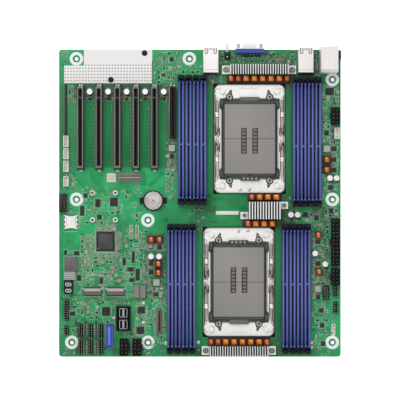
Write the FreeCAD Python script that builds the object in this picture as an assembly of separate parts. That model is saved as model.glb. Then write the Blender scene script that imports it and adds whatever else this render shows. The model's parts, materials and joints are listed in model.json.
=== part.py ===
import FreeCAD, Part

import math
import os

from FreeCAD import Vector

# Lengths are in millimetres. +Z is up, +Y points at the rear edge with the ports, +X to the right.
# Heights named "height" are measured from the top face of the circuit board.

# Circuit board
board_thickness = 2.0
board_corner = 3.0
backplate_thickness = 2.4
part_gap = 0.2
skin_gap = 0.05

# Mounting holes, on the standard server board pattern
hole_radius = 2.1
hole_inset_west = 19.2
hole_inset_rear = 10.16
hole_pitch_top = 124.46
hole_pitch_wide = 281.94
hole_drop_east = 22.86
hole_drop_middle = 154.94
hole_drop_inner = 177.8
hole_drop_front = 312.42
hole_shift_inner = 78.74
hole_shift_front = 5.08
hole_margin_front = 15.42

# Expansion slots
slot_inset = 23.9
slot_pitch = 20.32
slot_width = 6.8
slot_height = 11.2
slot_rear_gap = 41.2
x16_length = 89.2
x8_length = 56.4
x16_count = 5
slot_card_gap = 1.8
slot_groove_depth = 7.6
slot_end_wall = 2.2
slot_key_offset = 14.2
slot_key_length = 1.7
shell_wall = 0.45
shell_mouth = 4.4
shell_tab_width = 2.6
shell_tab_length = 2.2
shell_tab_thickness = 0.5

# Sheet under the slot brackets
sheet_thickness = 0.35
sheet_west = 27.4
sheet_width = 75.2
sheet_depth = 37.1
sheet_foot_west = 5.1
sheet_foot_rear = 17.5
rivet_radius = 3.1
rivet_height = 0.9
rivet_places = [(94.2, 3.9), (57.1, 33.2)]

# Memory sockets
dimm_count = 4
dimm_pitch = 8.1
dimm_width = 7.0
dimm_length = 142.2
dimm_height = 8.4
dimm_card_gap = 1.5
dimm_groove_depth = 6.4
dimm_key_offset = 4.7
dimm_key_length = 1.8
tower_length = 8.2
tower_height = 15.0
tower_floor = 1.2
tower_waist = 0.7
latch_bay = 6.5
latch_width = 5.4
latch_height = 18.6
latch_pivot_height = 10.0
latch_pivot_inset = 2.6
latch_pin_radius = 0.8
latch_foot_height = 1.8
latch_back = 1.3
latch_belly = 0.9
latch_head_inset = 0.2
latch_head_belly = 2.4
latch_head_height = 8.0
latch_neck_height = 13.2
latch_chamfer = 2.6
pin_clearance = 0.12

# Layout of the memory banks and processor sockets
bank_slot_gap = 2.1
bank_socket_gap = 8.5
rear_strip = 28.7
bank_b_shift = 2.2
bank_row_gap = 20.8
front_strip = 4.1
east_strip = 21.6
socket_2_shift = 11.9
socket_1_advance = 1.5
socket_2_advance = 7.1

# Processor sockets and their bolster plates
bolster_width = 77.8
bolster_length = 119.4
bolster_thickness = 3.0
bolster_corner = 7.0
bolster_mouth_width = 61.0
bolster_mouth_length = 87.6
bolster_lobe_width = 66.2
bolster_lobe_length = 12.0
bolster_mouth_corner = 4.0
socket_gap = 0.8
socket_height = 4.8
socket_pocket_width = 52.0
socket_pocket_length = 73.0
socket_pocket_depth = 2.4
cover_width = 57.0
cover_length = 80.8
cover_thickness = 2.6
cover_rest_gap = 0.1
cover_corner_cut = 2.5
cover_plug_side_gap = 3.0
cover_plug_end_gap = 3.5
cover_plug_depth = 1.8
cover_tab_width = 20.8
cover_tab_length = 5.5
cover_tab_thickness = 1.4
cover_groove_width = 0.7
cover_groove_depth = 0.5
grip_offset = 6.2
grip_slot_width = 5.6
grip_slot_length = 1.7
grip_slot_depth = 1.2
grip_pitch = 3.62
grip_rungs = 8
stud_x = 30.2
stud_shift = 0.25
stud_radius = 2.3
stud_nut_radius = 3.6
stud_nut_height = 1.6
stud_height = 6.4
stud_clearance = 0.3
clip_screw_x = 22.2
clip_screw_setback = 2.1
clip_screw_radius = 2.9
clip_screw_height = 1.1
clip_tip_x = 19.8
clip_tip_reach = 7.7
clip_recess_depth = 0.8
spring_inset = 3.3
spring_width = 3.4
spring_length = 84.0
spring_thickness = 1.0
spring_arch = 1.6
spring_rivet_radius = 1.6
backplate_width = 76.0
backplate_length = 113.0
backplate_window_width = 33.0
backplate_window_length = 27.0
backplate_rib = 8.0

# Voltage regulators: power stages, pads, heat sinks and chokes
stage_width = 5.0
stage_depth = 6.0
stage_height = 0.9
pad_height = 0.6
fin_thickness = 0.9
fin_pitch = 2.72
fin_height = 18.0
fin_count = 24
sink_depth = 11.0
sink_base = 2.6
sink_tab = 9.0
sink_tab_trim = 1.6
sink_screw_inset = 4.3
screw_radius = 1.4
screw_clearance = 0.2
screw_head_radius = 2.7
screw_head_height = 1.6
screw_tail = 1.4
sink_rear_shift = 10.4
middle_fin_count = 12
middle_fin_pitch = 3.0
middle_fin_thickness = 1.2
middle_sink_depth = 19.0
middle_sink_shift = 16.2
middle_tab_depth = 7.8
middle_sink_gap = 1.4
sink_rear_gap = 17.1
sink_front_gap = 1.6
choke_width = 7.8
choke_small_width = 6.5
choke_depth = 7.2
choke_height = 6.6
choke_gap = 1.35
choke_rear_gap = 3.1
choke_middle_gap = 0.9
choke_front_gap = 2.6
choke_coil_margin = 0.9
choke_coil_height = 0.5
rear_row_pattern = "ssbbbbbs"
middle_row_pattern = "sbbb"
middle_front_row_shift = 4.3

# Single chokes, grey inductors and regulator chips beside them, from the side edge and rear edge
chokes_west_front = [(101.3, 129.0), (110.5, 129.0), (109.3, 102.4), (109.3, 92.6)]
chokes_east_rear = [(15.5, 121.1), (15.5, 132.4)]
chokes_east_front = [(24.8, 134.0), (24.1, 93.7)]
grey_inductors_west_front = [(107.3, 81.8)]
grey_inductors_slot_front = [(124.2, 10.9)]
grey_inductors_east_rear = [(15.5, 109.2)]
grey_inductors_east_front = [(25.0, 74.7)]
grey_inductor_width = 7.2
grey_inductor_height = 3.4

# Polymer capacitors
can_radius = 3.15
can_height = 5.9
can_neck = 0.35
can_groove_height = 1.6
can_base_size = 6.6
can_base_height = 1.0
can_base_cut = 1.4
can_slot_setback = 5.4
cans_west_front = [(101.4, 110.5), (110.2, 110.5)]
cans_east_rear = [(12.1, 141.5), (4.9, 141.5)]
cans_east_front = [(28.4, 113.8), (17.3, 102.1)]
cans_bank_front = [(55.0, 8.7), (47.6, 8.7)]

# Rear ports
port_overhang = 0.5
lan_width = 16.6
lan_depth = 26.6
lan_height = 13.4
lan_cavity_width = 12.0
lan_cavity_height = 8.4
lan_cavity_depth = 13.5
lan_cavity_floor = 2.4
lan_1_shift = 42.6
lan_2_shift = 25.0
stack_inset = 13.9
stack_width = 18.6
stack_depth = 28.0
stack_height = 29.6
stack_overhang = 1.3
stack_bevel = 3.2
stack_lan_floor = 17.6
usb_cavity_width = 13.4
usb_cavity_height = 5.8
usb_cavity_depth = 16.0
usb_floors = [1.6, 9.6]
usb_tongue_thickness = 1.9
usb_tongue_width = 11.2
usb_tongue_setback = 1.5
usb_tongue_gap = 1.0
vga_flange_width = 30.8
vga_flange_thickness = 0.8
vga_height = 12.5
vga_axis_height = 6.3
vga_body_depth = 4.6
vga_shell_length = 5.9
vga_shell_width = 16.3
vga_shell_height = 7.9
vga_shell_wall = 0.5
vga_slope = 1.4
vga_screw_offset = 12.5
vga_screw_radius = 2.1
vga_screw_bore = 1.3
vga_screw_length = 5.2
button_shift = 24.5
button_width = 6.2
button_depth = 7.6
button_height = 5.6
button_axis_height = 3.2
button_setback = 2.9
plunger_radius = 1.25
plunger_reach = 5.8
plunger_play = 0.15
plunger_inside = 4.6
plunger_travel_room = 1.0

# Power headers and fan headers
power_pitch = 4.2
power_rim = 0.7
power_height = 12.8
power_width = 9.0
power_pin_size = 1.1
power_pin_drop = 2.6
power_cell = 3.3
power_floor = 2.2
power_rail_width = 1.7
power_rail_length = 6.5
power_inset_east = 6.3
main_power_rear = 186.0
main_power_rows = 12
eight_pin_rows = 4
eight_pin_gap = 2.8
eight_pin_rear_place = 73.4
front_power_west = [71.6, 86.4]
front_power_setback = 11.0
fan_header_width = 5.6
fan_header_height = 6.0
fan_header_length = 12.2
fan_header_west = 8.0
fan_headers_rear = [101.1, 114.6, 128.5]
fan_header_east = 4.2
fan_header_east_rear = 92.2
short_header_length = 11.0
short_header_rear = 145.0
fan_wall = 0.8
fan_floor = 1.6
fan_pins = 4

# Pin headers
pin_pitch = 2.54
pin_size = 0.64
pin_base_height = 2.5
pin_height = 8.4
strip_west = 7.2
strip_rear = 38.2
strip_pins = 22
jumper_first_west = 24.0
jumper_pitch_x = 10.9
jumper_count = 3
jumper_rows = 6
jumper_front_places = [28.4, 10.6]
panel_header_west = 8.2
panel_header_rows = 9
panel_header_front = 51.5
panel_short_rows = 4
panel_short_front = 29.1
east_header_places = [(5.5, 71.8), (5.5, 54.2), (16.5, 70.8)]
east_header_rows = 5

# Data connectors
usb_header_west = 55.6
usb_header_front = 23.2
usb_header_width = 7.6
usb_header_length = 25.2
usb_header_height = 8.2
usb_header_wall = 1.1
cable_port_west = 71.1
cable_port_front = 42.4
cable_port_width = 15.4
cable_port_length = 26.6
cable_port_height = 8.0
cable_port_wall = 1.0
cable_port_cell_width = 7.7
cable_port_blade = 2.0
cable_port_channel = 1.8
cable_port_channel_depth = 4.0
slim_width = 5.6
slim_length = 26.0
slim_height = 5.0
slim_groove = 1.2
slim_upright_west = 109.9
slim_upright_front = 39.6
slim_flat_west = 77.8
slim_flat_setback = 10.6
slim_flat_depth = 8.0
slim_flat_length = 24.4
slim_flat_height = 3.6
side_header_rear = 168.4
side_header_west = 5.2
side_header_width = 8.4
side_header_length = 19.8
side_header_height = 6.4

# Cards, battery and display
m2_places_west = [36.9, 62.1]
m2_front = 71.4
m2_width = 18.8
m2_depth = 9.2
m2_height = 4.2
m2_mouth = 1.3
m2_mouth_floor = 1.5
m2_mouth_depth = 5.0
m2_long_reach = 108.9
m2_short_reach = 79.2
standoff_radius = 2.9
standoff_flange = 0.8
standoff_post_radius = 2.2
standoff_height = 2.4
standoff_bore = 1.2
card_west = 13.2
card_rear = 189.9
card_width = 14.8
card_length = 16.0
card_height = 1.8
card_wall = 0.3
card_dish = 1.4
cell_west = 103.8
cell_rear = 166.2
cell_radius = 10.0
cell_thickness = 3.2
cell_step_radius = 8.9
cell_step = 0.5
cell_floor = 1.6
holder_radius = 11.6
holder_height = 5.0
holder_clearance = 0.3
holder_window = 12.0
holder_lobe = 3.2
digits_west = 10.7
digits_front = 76.6
digits_width = 10.2
digits_length = 14.6
digits_height = 7.0

# Grey modules: places from the west edge and front edge, then width, length and height
module_sizes = [(13.4, 101.7, 14.2, 15.0, 4.6), (11.8, 89.2, 13.0, 9.6, 2.6)]
split_module_west = 89.0
split_module_front = 71.7
split_module_width = 6.2
split_module_length = 14.0
split_module_gap = 0.6
split_module_height = 4.4

# Chips: places from the side edge and rear edge or front edge, then width and length
chip_height = 1.1
large_chip = (51.2, 126.9, 20.1, 21.0)
large_chip_height = 1.9
large_chip_base = 0.6
large_chip_margin = 1.4
chips_west_rear = [
    (60.4, 167.7, 8.4, 8.9), (42.7, 168.9, 5.4, 8.2), (25.5, 177.3, 4.4, 10.2), (29.1, 160.6, 4.4, 4.4),
    (44.4, 184.3, 4.8, 4.8), (124.0, 10.6, 4.4, 4.4), (115.0, 27.9, 3.4, 3.4),
]
chips_slot_front = [(124.2, 19.8, 4.4, 4.4)]
chips_west_front = [
    (51.8, 49.9, 8.8, 9.2), (90.6, 51.3, 7.8, 7.4), (89.6, 29.0, 7.6, 7.6), (106.6, 68.7, 4.4, 4.0),
    (14.8, 47.4, 4.8, 4.4), (46.4, 83.7, 3.9, 6.4), (86.6, 90.4, 4.4, 12.4), (78.6, 96.1, 6.4, 4.4),
    (79.6, 84.5, 4.4, 4.0), (81.8, 109.8, 2.9, 12.2), (71.7, 104.7, 3.4, 7.6), (22.0, 86.7, 4.4, 5.5),
    (19.3, 114.0, 4.8, 4.0), (7.1, 114.7, 3.0, 4.4), (101.3, 120.6, 4.8, 4.8), (110.5, 120.6, 4.8, 4.8),
    (101.3, 103.0, 4.8, 4.8), (101.3, 93.0, 4.8, 4.8),
]
chips_east_rear = [
    (12.4, 46.1, 8.5, 7.8), (15.5, 91.7, 4.8, 4.8), (7.4, 109.1, 4.8, 4.8), (7.6, 121.1, 4.8, 4.8),
    (7.6, 132.4, 4.8, 4.8), (11.2, 151.8, 4.8, 4.8), (10.6, 177.6, 4.8, 4.8),
]
chips_bank_front = [(26.6, 12.1, 4.8, 4.8), (38.8, 8.7, 5.4, 5.4)]
chips_east_front = [
    (25.1, 126.4, 4.6, 4.6), (25.1, 102.6, 4.6, 4.6), (21.4, 51.0, 4.6, 4.6), (20.4, 34.6, 4.6, 4.6),
    (19.4, 14.4, 4.6, 4.6), (24.8, 65.6, 4.4, 4.4),
]

# Sizes that follow from the ones above
bank_width = dimm_pitch * (dimm_count - 1) + dimm_width
bank_a_west = slot_inset + slot_pitch * x16_count + slot_width / 2 + bank_slot_gap
socket_1_west = bank_a_west + bank_width + bank_socket_gap
bank_b_west = socket_1_west + bolster_width + bank_socket_gap
board_width = bank_b_west + bank_width + east_strip
choke_row_depth = bolster_length / 2 + choke_depth
socket_1_from_rear = max(rear_strip + dimm_length / 2 - socket_1_advance,
                         sink_rear_gap + sink_depth + part_gap + choke_rear_gap + choke_row_depth)
middle_row_depth = middle_sink_depth + 2 * (middle_sink_gap + choke_depth + choke_middle_gap)
socket_step = max(dimm_length + bank_row_gap + socket_1_advance - socket_2_advance,
                  bolster_length + middle_row_depth)
socket_2_from_front = max(dimm_length / 2 + socket_2_advance + front_strip,
                          choke_row_depth + choke_front_gap + part_gap + sink_depth + sink_front_gap)
board_depth = max(socket_1_from_rear + socket_step + socket_2_from_front,
                  hole_inset_rear + hole_drop_front + hole_margin_front)
board_underside = backplate_thickness
board_top = board_underside + board_thickness

vga_overhang = vga_shell_length + vga_flange_thickness
board_rear = (board_depth + vga_overhang) / 2 - vga_overhang
board_front = board_rear - board_depth
board_west = -board_width / 2
board_east = board_width / 2

socket_1_x = board_west + socket_1_west + bolster_width / 2
socket_2_x = socket_1_x - socket_2_shift
bank_a_x = board_west + bank_a_west + bank_width / 2
bank_b_x = board_west + bank_b_west + bank_width / 2
bank_offset = bolster_width / 2 + bank_socket_gap + bank_width / 2
socket_1_y = board_rear - socket_1_from_rear
socket_2_y = socket_1_y - socket_step
bank_a_y = socket_1_y - socket_1_advance
bank_b_y = bank_a_y - bank_b_shift
bank_c_y = socket_2_y - socket_2_advance
bank_b_front = bank_b_y - dimm_length / 2
stud_y = (bolster_length + bolster_mouth_length) / 4 + stud_shift
clip_screw_y = bolster_mouth_length / 2 + clip_screw_setback
clip_tip_y = clip_screw_y + clip_tip_reach


def block(x, y, height, width, length, tall):
    """A box centred on x and y that stands at a height above the board."""
    corner = Vector(x - width / 2, y - length / 2, board_top + height)
    return Part.makeBox(width, length, tall, corner)


def post(x, y, height, radius, tall):
    """An upright cylinder that stands at a height above the board."""
    return Part.makeCylinder(radius, tall, Vector(x, y, board_top + height))


def plate(x, y, height, width, length, tall, corner):
    """A box with rounded upright edges."""
    solid = block(x, y, height, width, length, tall)
    upright = [edge for edge in solid.Edges if abs(edge.tangentAt(edge.FirstParameter).z) > 0.9]
    return solid.makeFillet(corner, upright)


def prism(points, start, travel):
    """A solid with a flat outline of (x, y, z) points, moved to a start and drawn along a vector."""
    wire = Part.makePolygon([Vector(*point) for point in points + points[:1]])
    wire.translate(start)
    return Part.Face(wire).extrude(travel)


def west_edge(distance):
    """The x at a distance inside the west edge of the board."""
    return board_west + distance


def east_edge(distance):
    """The x at a distance inside the east edge of the board."""
    return board_east - distance


def rear_edge(distance):
    """The y at a distance inside the rear edge of the board."""
    return board_rear - distance


def front_edge(distance):
    """The y at a distance inside the front edge of the board."""
    return board_front + distance


def west_places(rear_places):
    """Places measured from the west and rear edges, as x and y."""
    return [(west_edge(place[0]), rear_edge(place[1])) for place in rear_places]


def edge_places(west_front, east_rear, east_front):
    """Places measured from the edges that their lists are named for, as x and y."""
    places = [(west_edge(west), front_edge(front)) for west, front in west_front]
    places += [(east_edge(east), rear_edge(rear)) for east, rear in east_rear]
    return places + [(east_edge(east), front_edge(front)) for east, front in east_front]


def turned(shape, x, y, turn):
    """A shape built round the origin, turned about Z and moved to x and y."""
    copy = shape.copy()
    copy.rotate(Vector(0, 0, 0), Vector(0, 0, 1), turn)
    copy.translate(Vector(x, y, 0))
    return copy


def export(name, solids):
    """Write one node as a STEP file of one or more solids."""
    shape = solids[0] if len(solids) == 1 else Part.makeCompound(solids)
    shape.exportStep(os.path.join("parts", name + ".step"))


def mounting_holes():
    """The middles of the nine mounting holes."""
    x = west_edge(hole_inset_west)
    y = rear_edge(hole_inset_rear)
    return [
        (x, y),
        (x + hole_pitch_top, y),
        (x + hole_pitch_wide, y - hole_drop_east),
        (x, y - hole_drop_middle),
        (x + hole_shift_inner, y - hole_drop_inner),
        (x + hole_pitch_wide, y - hole_drop_middle),
        (x - hole_shift_front, y - hole_drop_front),
        (x + hole_shift_inner, y - hole_drop_front),
        (x + hole_pitch_wide, y - hole_drop_front),
    ]


def stud_places():
    """The middles of the bolster studs of both sockets."""
    corners = [(sx * stud_x, sy * stud_y) for sx in (-1, 1) for sy in (-1, 1)]
    centres = [(socket_1_x, socket_1_y), (socket_2_x, socket_2_y)]
    return [(x + dx, y + dy) for x, y in centres for dx, dy in corners]


# Rows of the voltage regulators
rear_choke_y = socket_1_y + bolster_length / 2 + choke_rear_gap + choke_depth / 2
rear_sink_y = rear_choke_y + choke_depth / 2 + part_gap + sink_depth / 2
rear_sink_x = socket_1_x + sink_rear_shift
middle_rear_choke_y = socket_1_y - bolster_length / 2 - choke_middle_gap - choke_depth / 2
middle_front_choke_y = socket_2_y + bolster_length / 2 + choke_middle_gap + choke_depth / 2
middle_sink_x = socket_1_x + middle_sink_shift
middle_sink_y = (middle_rear_choke_y + middle_front_choke_y) / 2
front_choke_y = socket_2_y - bolster_length / 2 - choke_front_gap - choke_depth / 2
front_sink_y = front_choke_y - choke_depth / 2 - part_gap - sink_depth / 2
front_sink_x = socket_2_x
sink_width = fin_pitch * (fin_count - 1) + fin_thickness
middle_sink_width = middle_fin_pitch * (middle_fin_count - 1) + middle_fin_thickness
sink_foot = stage_height + pad_height


def sink_screw_places():
    """The middles of the heat sink screws."""
    reach = sink_width / 2 + sink_tab - sink_screw_inset
    middle_reach = middle_sink_width / 2 + sink_tab - sink_screw_inset
    middle_step = (middle_sink_depth - middle_tab_depth) / 2
    return [
        (rear_sink_x - reach, rear_sink_y),
        (rear_sink_x + reach, rear_sink_y),
        (middle_sink_x - middle_reach, middle_sink_y - middle_step),
        (middle_sink_x + middle_reach, middle_sink_y + middle_step),
        (front_sink_x - reach, front_sink_y),
        (front_sink_x + reach, front_sink_y),
    ]


def standoff_places():
    """The middles of the card standoffs."""
    front = front_edge(m2_front)
    first, second = [west_edge(place) for place in m2_places_west]
    near_y = front + m2_short_reach
    return [(first, near_y), (second, near_y), (second, front + m2_long_reach)]


def circuit_board():
    """The bare board with its mounting holes and the holes that studs, screws and standoffs pass."""
    middle_y = (board_rear + board_front) / 2
    board = plate(0, middle_y, -board_thickness, board_width, board_depth, board_thickness, board_corner)
    holes = [post(x, y, -board_thickness, hole_radius, board_thickness) for x, y in mounting_holes()]
    stud_hole = stud_radius + stud_clearance
    holes += [post(x, y, -board_thickness, stud_hole, board_thickness) for x, y in stud_places()]
    screw_hole = screw_radius + screw_clearance
    holes += [post(x, y, -board_thickness, screw_hole, board_thickness) for x, y in sink_screw_places()]
    return [board.cut(Part.makeCompound(holes))]


def slot_insulator():
    """The thin sheet beside the rear edge, stepped round the first mounting hole."""
    main = block(west_edge(sheet_west + sheet_width / 2), rear_edge(sheet_depth / 2), 0,
                 sheet_width, sheet_depth, sheet_thickness)
    foot_width = sheet_west - sheet_foot_west
    foot_depth = sheet_depth - sheet_foot_rear
    foot = block(west_edge(sheet_foot_west + foot_width / 2), rear_edge(sheet_foot_rear + foot_depth / 2), 0,
                 foot_width, foot_depth, sheet_thickness)
    return [main.fuse(foot).removeSplitter()]


def insulator_rivets():
    """Two flat push rivets on the sheet."""
    return [post(x, y, sheet_thickness, rivet_radius, rivet_height) for x, y in west_places(rivet_places)]


def slot_housing(x, length):
    """One slot body with a card groove that a key bar divides."""
    y = rear_edge(slot_rear_gap + length / 2)
    width = slot_width - 2 * (shell_wall + skin_gap)
    tall = slot_height - shell_wall - skin_gap
    body = block(x, y, 0, width, length - 2 * (shell_wall + skin_gap), tall)
    rear_end = rear_edge(slot_rear_gap + slot_end_wall)
    key_y = rear_edge(slot_rear_gap + slot_key_offset)
    front_end = rear_edge(slot_rear_gap + length - slot_end_wall)
    spans = [(rear_end, key_y + slot_key_length / 2), (key_y - slot_key_length / 2, front_end)]
    for start, end in spans:
        groove = block(x, (start + end) / 2, tall - slot_groove_depth, slot_card_gap, start - end,
                       slot_groove_depth)
        body = body.cut(groove)
    return body


def slot_shell(x):
    """The steel shell that wraps a long slot, with solder tabs at its ends."""
    y = rear_edge(slot_rear_gap + x16_length / 2)
    shell = plate(x, y, 0, slot_width, x16_length, slot_height, shell_wall)
    inner = block(x, y, 0, slot_width - 2 * shell_wall, x16_length - 2 * shell_wall,
                  slot_height - shell_wall)
    mouth = block(x, y, 0, shell_mouth, x16_length - 2 * slot_end_wall, slot_height)
    shell = shell.cut(inner).cut(mouth)
    for side in (-1, 1):
        tab_y = y + side * (x16_length / 2 + shell_tab_length / 2)
        shell = shell.fuse(block(x, tab_y, 0, shell_tab_width, shell_tab_length, shell_tab_thickness))
    return shell


def slot_places():
    """The x of each long slot, and last the short slot."""
    return [west_edge(slot_inset + slot_pitch * index) for index in range(x16_count + 1)]


def slot_housings():
    """The bodies of the long slots and of the short slot."""
    places = slot_places()
    return [slot_housing(x, x16_length) for x in places[:-1]] + [slot_housing(places[-1], x8_length)]


def slot_shells():
    """The steel shells of the long slots."""
    return [slot_shell(x) for x in slot_places()[:-1]]


def dimm_housing():
    """One memory socket round the origin: a grooved body with a slotted tower at each end."""
    body = block(0, 0, 0, dimm_width, dimm_length, dimm_height)
    half = dimm_length / 2
    for side in (-1, 1):
        tower_y = side * (half - tower_length / 2)
        body = body.fuse(block(0, tower_y, 0, dimm_width, tower_length, tower_height))
    bay_width = latch_width + 2 * pin_clearance
    for side in (-1, 1):
        bay_y = side * (half - latch_bay / 2)
        body = body.cut(block(0, bay_y, tower_floor, bay_width, latch_bay, tower_height))
        pivot = Vector(-dimm_width, side * (half - latch_pivot_inset), board_top + latch_pivot_height)
        bore = Part.makeCylinder(latch_pin_radius + pin_clearance, 2 * dimm_width, pivot, Vector(1, 0, 0))
        body = body.cut(bore)
    groove_floor = dimm_height - dimm_groove_depth
    groove_end = half - latch_bay - tower_waist / 2
    spans = [(-groove_end, dimm_key_offset - dimm_key_length / 2),
             (dimm_key_offset + dimm_key_length / 2, groove_end)]
    for start, end in spans:
        body = body.cut(block(0, (start + end) / 2, groove_floor, dimm_card_gap, end - start, tower_height))
    return body.removeSplitter()


def dimm_latch(side):
    """One card latch with its pivot pins, at the front or rear end of a socket at the origin."""
    half = dimm_length / 2
    back = latch_pivot_inset - latch_back
    belly = latch_pivot_inset + latch_belly
    head_belly = latch_pivot_inset + latch_head_belly
    outline = [
        (back, latch_foot_height), (belly, latch_foot_height), (belly, latch_head_height),
        (head_belly, latch_pivot_height), (head_belly, latch_height - latch_chamfer), (belly, latch_height),
        (latch_head_inset, latch_height), (latch_head_inset, latch_height - latch_chamfer),
        (back, latch_neck_height),
    ]
    points = [(0, side * (half - inset), height) for inset, height in outline]
    start = Vector(-latch_width / 2, 0, board_top)
    latch = prism(points, start, Vector(latch_width, 0, 0))
    pivot = Vector(-dimm_width / 2, side * (half - latch_pivot_inset), board_top + latch_pivot_height)
    return latch.fuse(Part.makeCylinder(latch_pin_radius, dimm_width, pivot, Vector(1, 0, 0)))


def bank_row(shape, x, y, turn):
    """Four copies of one socket part side by side."""
    first = x - dimm_pitch * (dimm_count - 1) / 2
    return [turned(shape, first + dimm_pitch * index, y, turn) for index in range(dimm_count)]


def bank_places():
    """The letter, middle and turn of each memory bank."""
    return [
        ("a", bank_a_x, bank_a_y, 180),
        ("b", bank_b_x, bank_b_y, 180),
        ("c", socket_2_x - bank_offset, bank_c_y, 0),
        ("d", socket_2_x + bank_offset, bank_c_y, 0),
    ]


def socket_centres():
    """The middle and turn of each processor socket."""
    return [(socket_1_x, socket_1_y, 0), (socket_2_x, socket_2_y, 180)]


def bolster_mouth():
    """The opening of the bolster: long, with a wider lobe near each end."""
    mouth = plate(0, 0, 0, bolster_mouth_width, bolster_mouth_length, bolster_thickness,
                  bolster_mouth_corner)
    lobe_y = (bolster_mouth_length - bolster_lobe_length) / 2
    for side in (-1, 1):
        lobe = plate(0, side * lobe_y, 0, bolster_lobe_width, bolster_lobe_length, bolster_thickness,
                     bolster_mouth_corner)
        mouth = mouth.fuse(lobe)
    return mouth.removeSplitter()


def teardrop(side_x, side_y, radius, depth):
    """A round recess with a point towards the end of the bolster."""
    x = side_x * clip_screw_x
    y = side_y * clip_screw_y
    tip = Vector(side_x * clip_tip_x, side_y * clip_tip_y, 0)
    reach = Vector(x, y, 0) - tip
    spread = math.asin(radius / reach.Length)
    along = math.atan2(reach.y, reach.x)
    edge = math.sqrt(reach.Length ** 2 - radius ** 2)
    points = [(tip.x, tip.y, 0), (x, y, 0)]
    flanks = [(tip.x + edge * math.cos(along + turn), tip.y + edge * math.sin(along + turn), 0)
              for turn in (spread, -spread)]
    outline = [points[0], flanks[0], points[1], flanks[1]]
    floor = Vector(0, 0, board_top + bolster_thickness - depth)
    wedge = prism(outline, floor, Vector(0, 0, depth))
    return wedge.fuse(post(x, y, bolster_thickness - depth, radius, depth))


def bolster():
    """One bolster plate round the origin."""
    frame = plate(0, 0, 0, bolster_width, bolster_length, bolster_thickness, bolster_corner)
    frame = frame.cut(bolster_mouth())
    for side_x in (-1, 1):
        for side_y in (-1, 1):
            frame = frame.cut(post(side_x * stud_x, side_y * stud_y, 0, stud_radius + stud_clearance,
                                   bolster_thickness))
            frame = frame.cut(teardrop(side_x, side_y, clip_screw_radius + part_gap, clip_recess_depth))
    return frame


def bolster_fasteners():
    """Studs with nuts, clip screws and spring rivets of one bolster round the origin."""
    pieces = []
    nut_foot = bolster_thickness
    for side_x in (-1, 1):
        for side_y in (-1, 1):
            x, y = side_x * stud_x, side_y * stud_y
            stud = post(x, y, -board_thickness, stud_radius, board_thickness + stud_height)
            nut = post(x, y, nut_foot, stud_nut_radius, stud_nut_height)
            pieces.append(stud.fuse(nut))
            screw_floor = bolster_thickness - clip_recess_depth
            head = post(side_x * clip_screw_x, side_y * clip_screw_y, screw_floor, clip_screw_radius,
                        clip_recess_depth + clip_screw_height)
            cross = post(side_x * clip_screw_x, side_y * clip_screw_y, bolster_thickness,
                         clip_screw_radius / 2, clip_screw_height)
            pieces.append(head.cut(cross))
        rivet_x = side_x * (bolster_width / 2 - spring_inset)
        pieces.append(post(rivet_x, 0, bolster_thickness + spring_thickness + skin_gap, spring_rivet_radius,
                           spring_thickness))
    return pieces


def leaf_spring(side_x):
    """One leaf spring that lies along a side of the bolster and rises to both ends."""
    half = spring_length / 2
    base = board_top + bolster_thickness
    lower = Part.Arc(Vector(0, -half, base + spring_arch), Vector(0, 0, base),
                     Vector(0, half, base + spring_arch))
    upper_z = base + spring_thickness
    upper = Part.Arc(Vector(0, half, upper_z + spring_arch), Vector(0, 0, upper_z),
                     Vector(0, -half, upper_z + spring_arch))
    ends = [Part.LineSegment(Vector(0, side * half, base + spring_arch),
                             Vector(0, side * half, upper_z + spring_arch)) for side in (1, -1)]
    wire = Part.Wire([lower.toShape(), ends[0].toShape(), upper.toShape(), ends[1].toShape()])
    spring = Part.Face(wire).extrude(Vector(spring_width, 0, 0))
    spring.translate(Vector(side_x * (bolster_width / 2 - spring_inset) - spring_width / 2, 0, 0))
    return spring


def processor_socket():
    """One socket body round the origin, with the pocket that takes a processor."""
    width = bolster_mouth_width - 2 * socket_gap
    length = bolster_mouth_length - 2 * socket_gap
    body = plate(0, 0, 0, width, length, socket_height, bolster_mouth_corner - socket_gap)
    lobe_width = bolster_lobe_width - 2 * socket_gap
    lobe_length = bolster_lobe_length - 2 * socket_gap
    lobe_y = (bolster_mouth_length - bolster_lobe_length) / 2
    for side in (-1, 1):
        lobe = plate(0, side * lobe_y, 0, lobe_width, lobe_length, socket_height / 2,
                     bolster_mouth_corner - socket_gap)
        body = body.fuse(lobe)
    pocket = block(0, 0, socket_height - socket_pocket_depth, socket_pocket_width, socket_pocket_length,
                   socket_pocket_depth)
    return body.cut(pocket).removeSplitter()


def cut_corner_plate(width, length, height, tall, cut):
    """A plate round the origin with its four corners cut at 45 degrees."""
    x, y = width / 2, length / 2
    outline = [(x - cut, y, 0), (x, y - cut, 0), (x, cut - y, 0), (x - cut, -y, 0),
               (cut - x, -y, 0), (-x, cut - y, 0), (-x, y - cut, 0), (cut - x, y, 0)]
    return prism(outline, Vector(0, 0, board_top + height), Vector(0, 0, tall))


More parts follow.
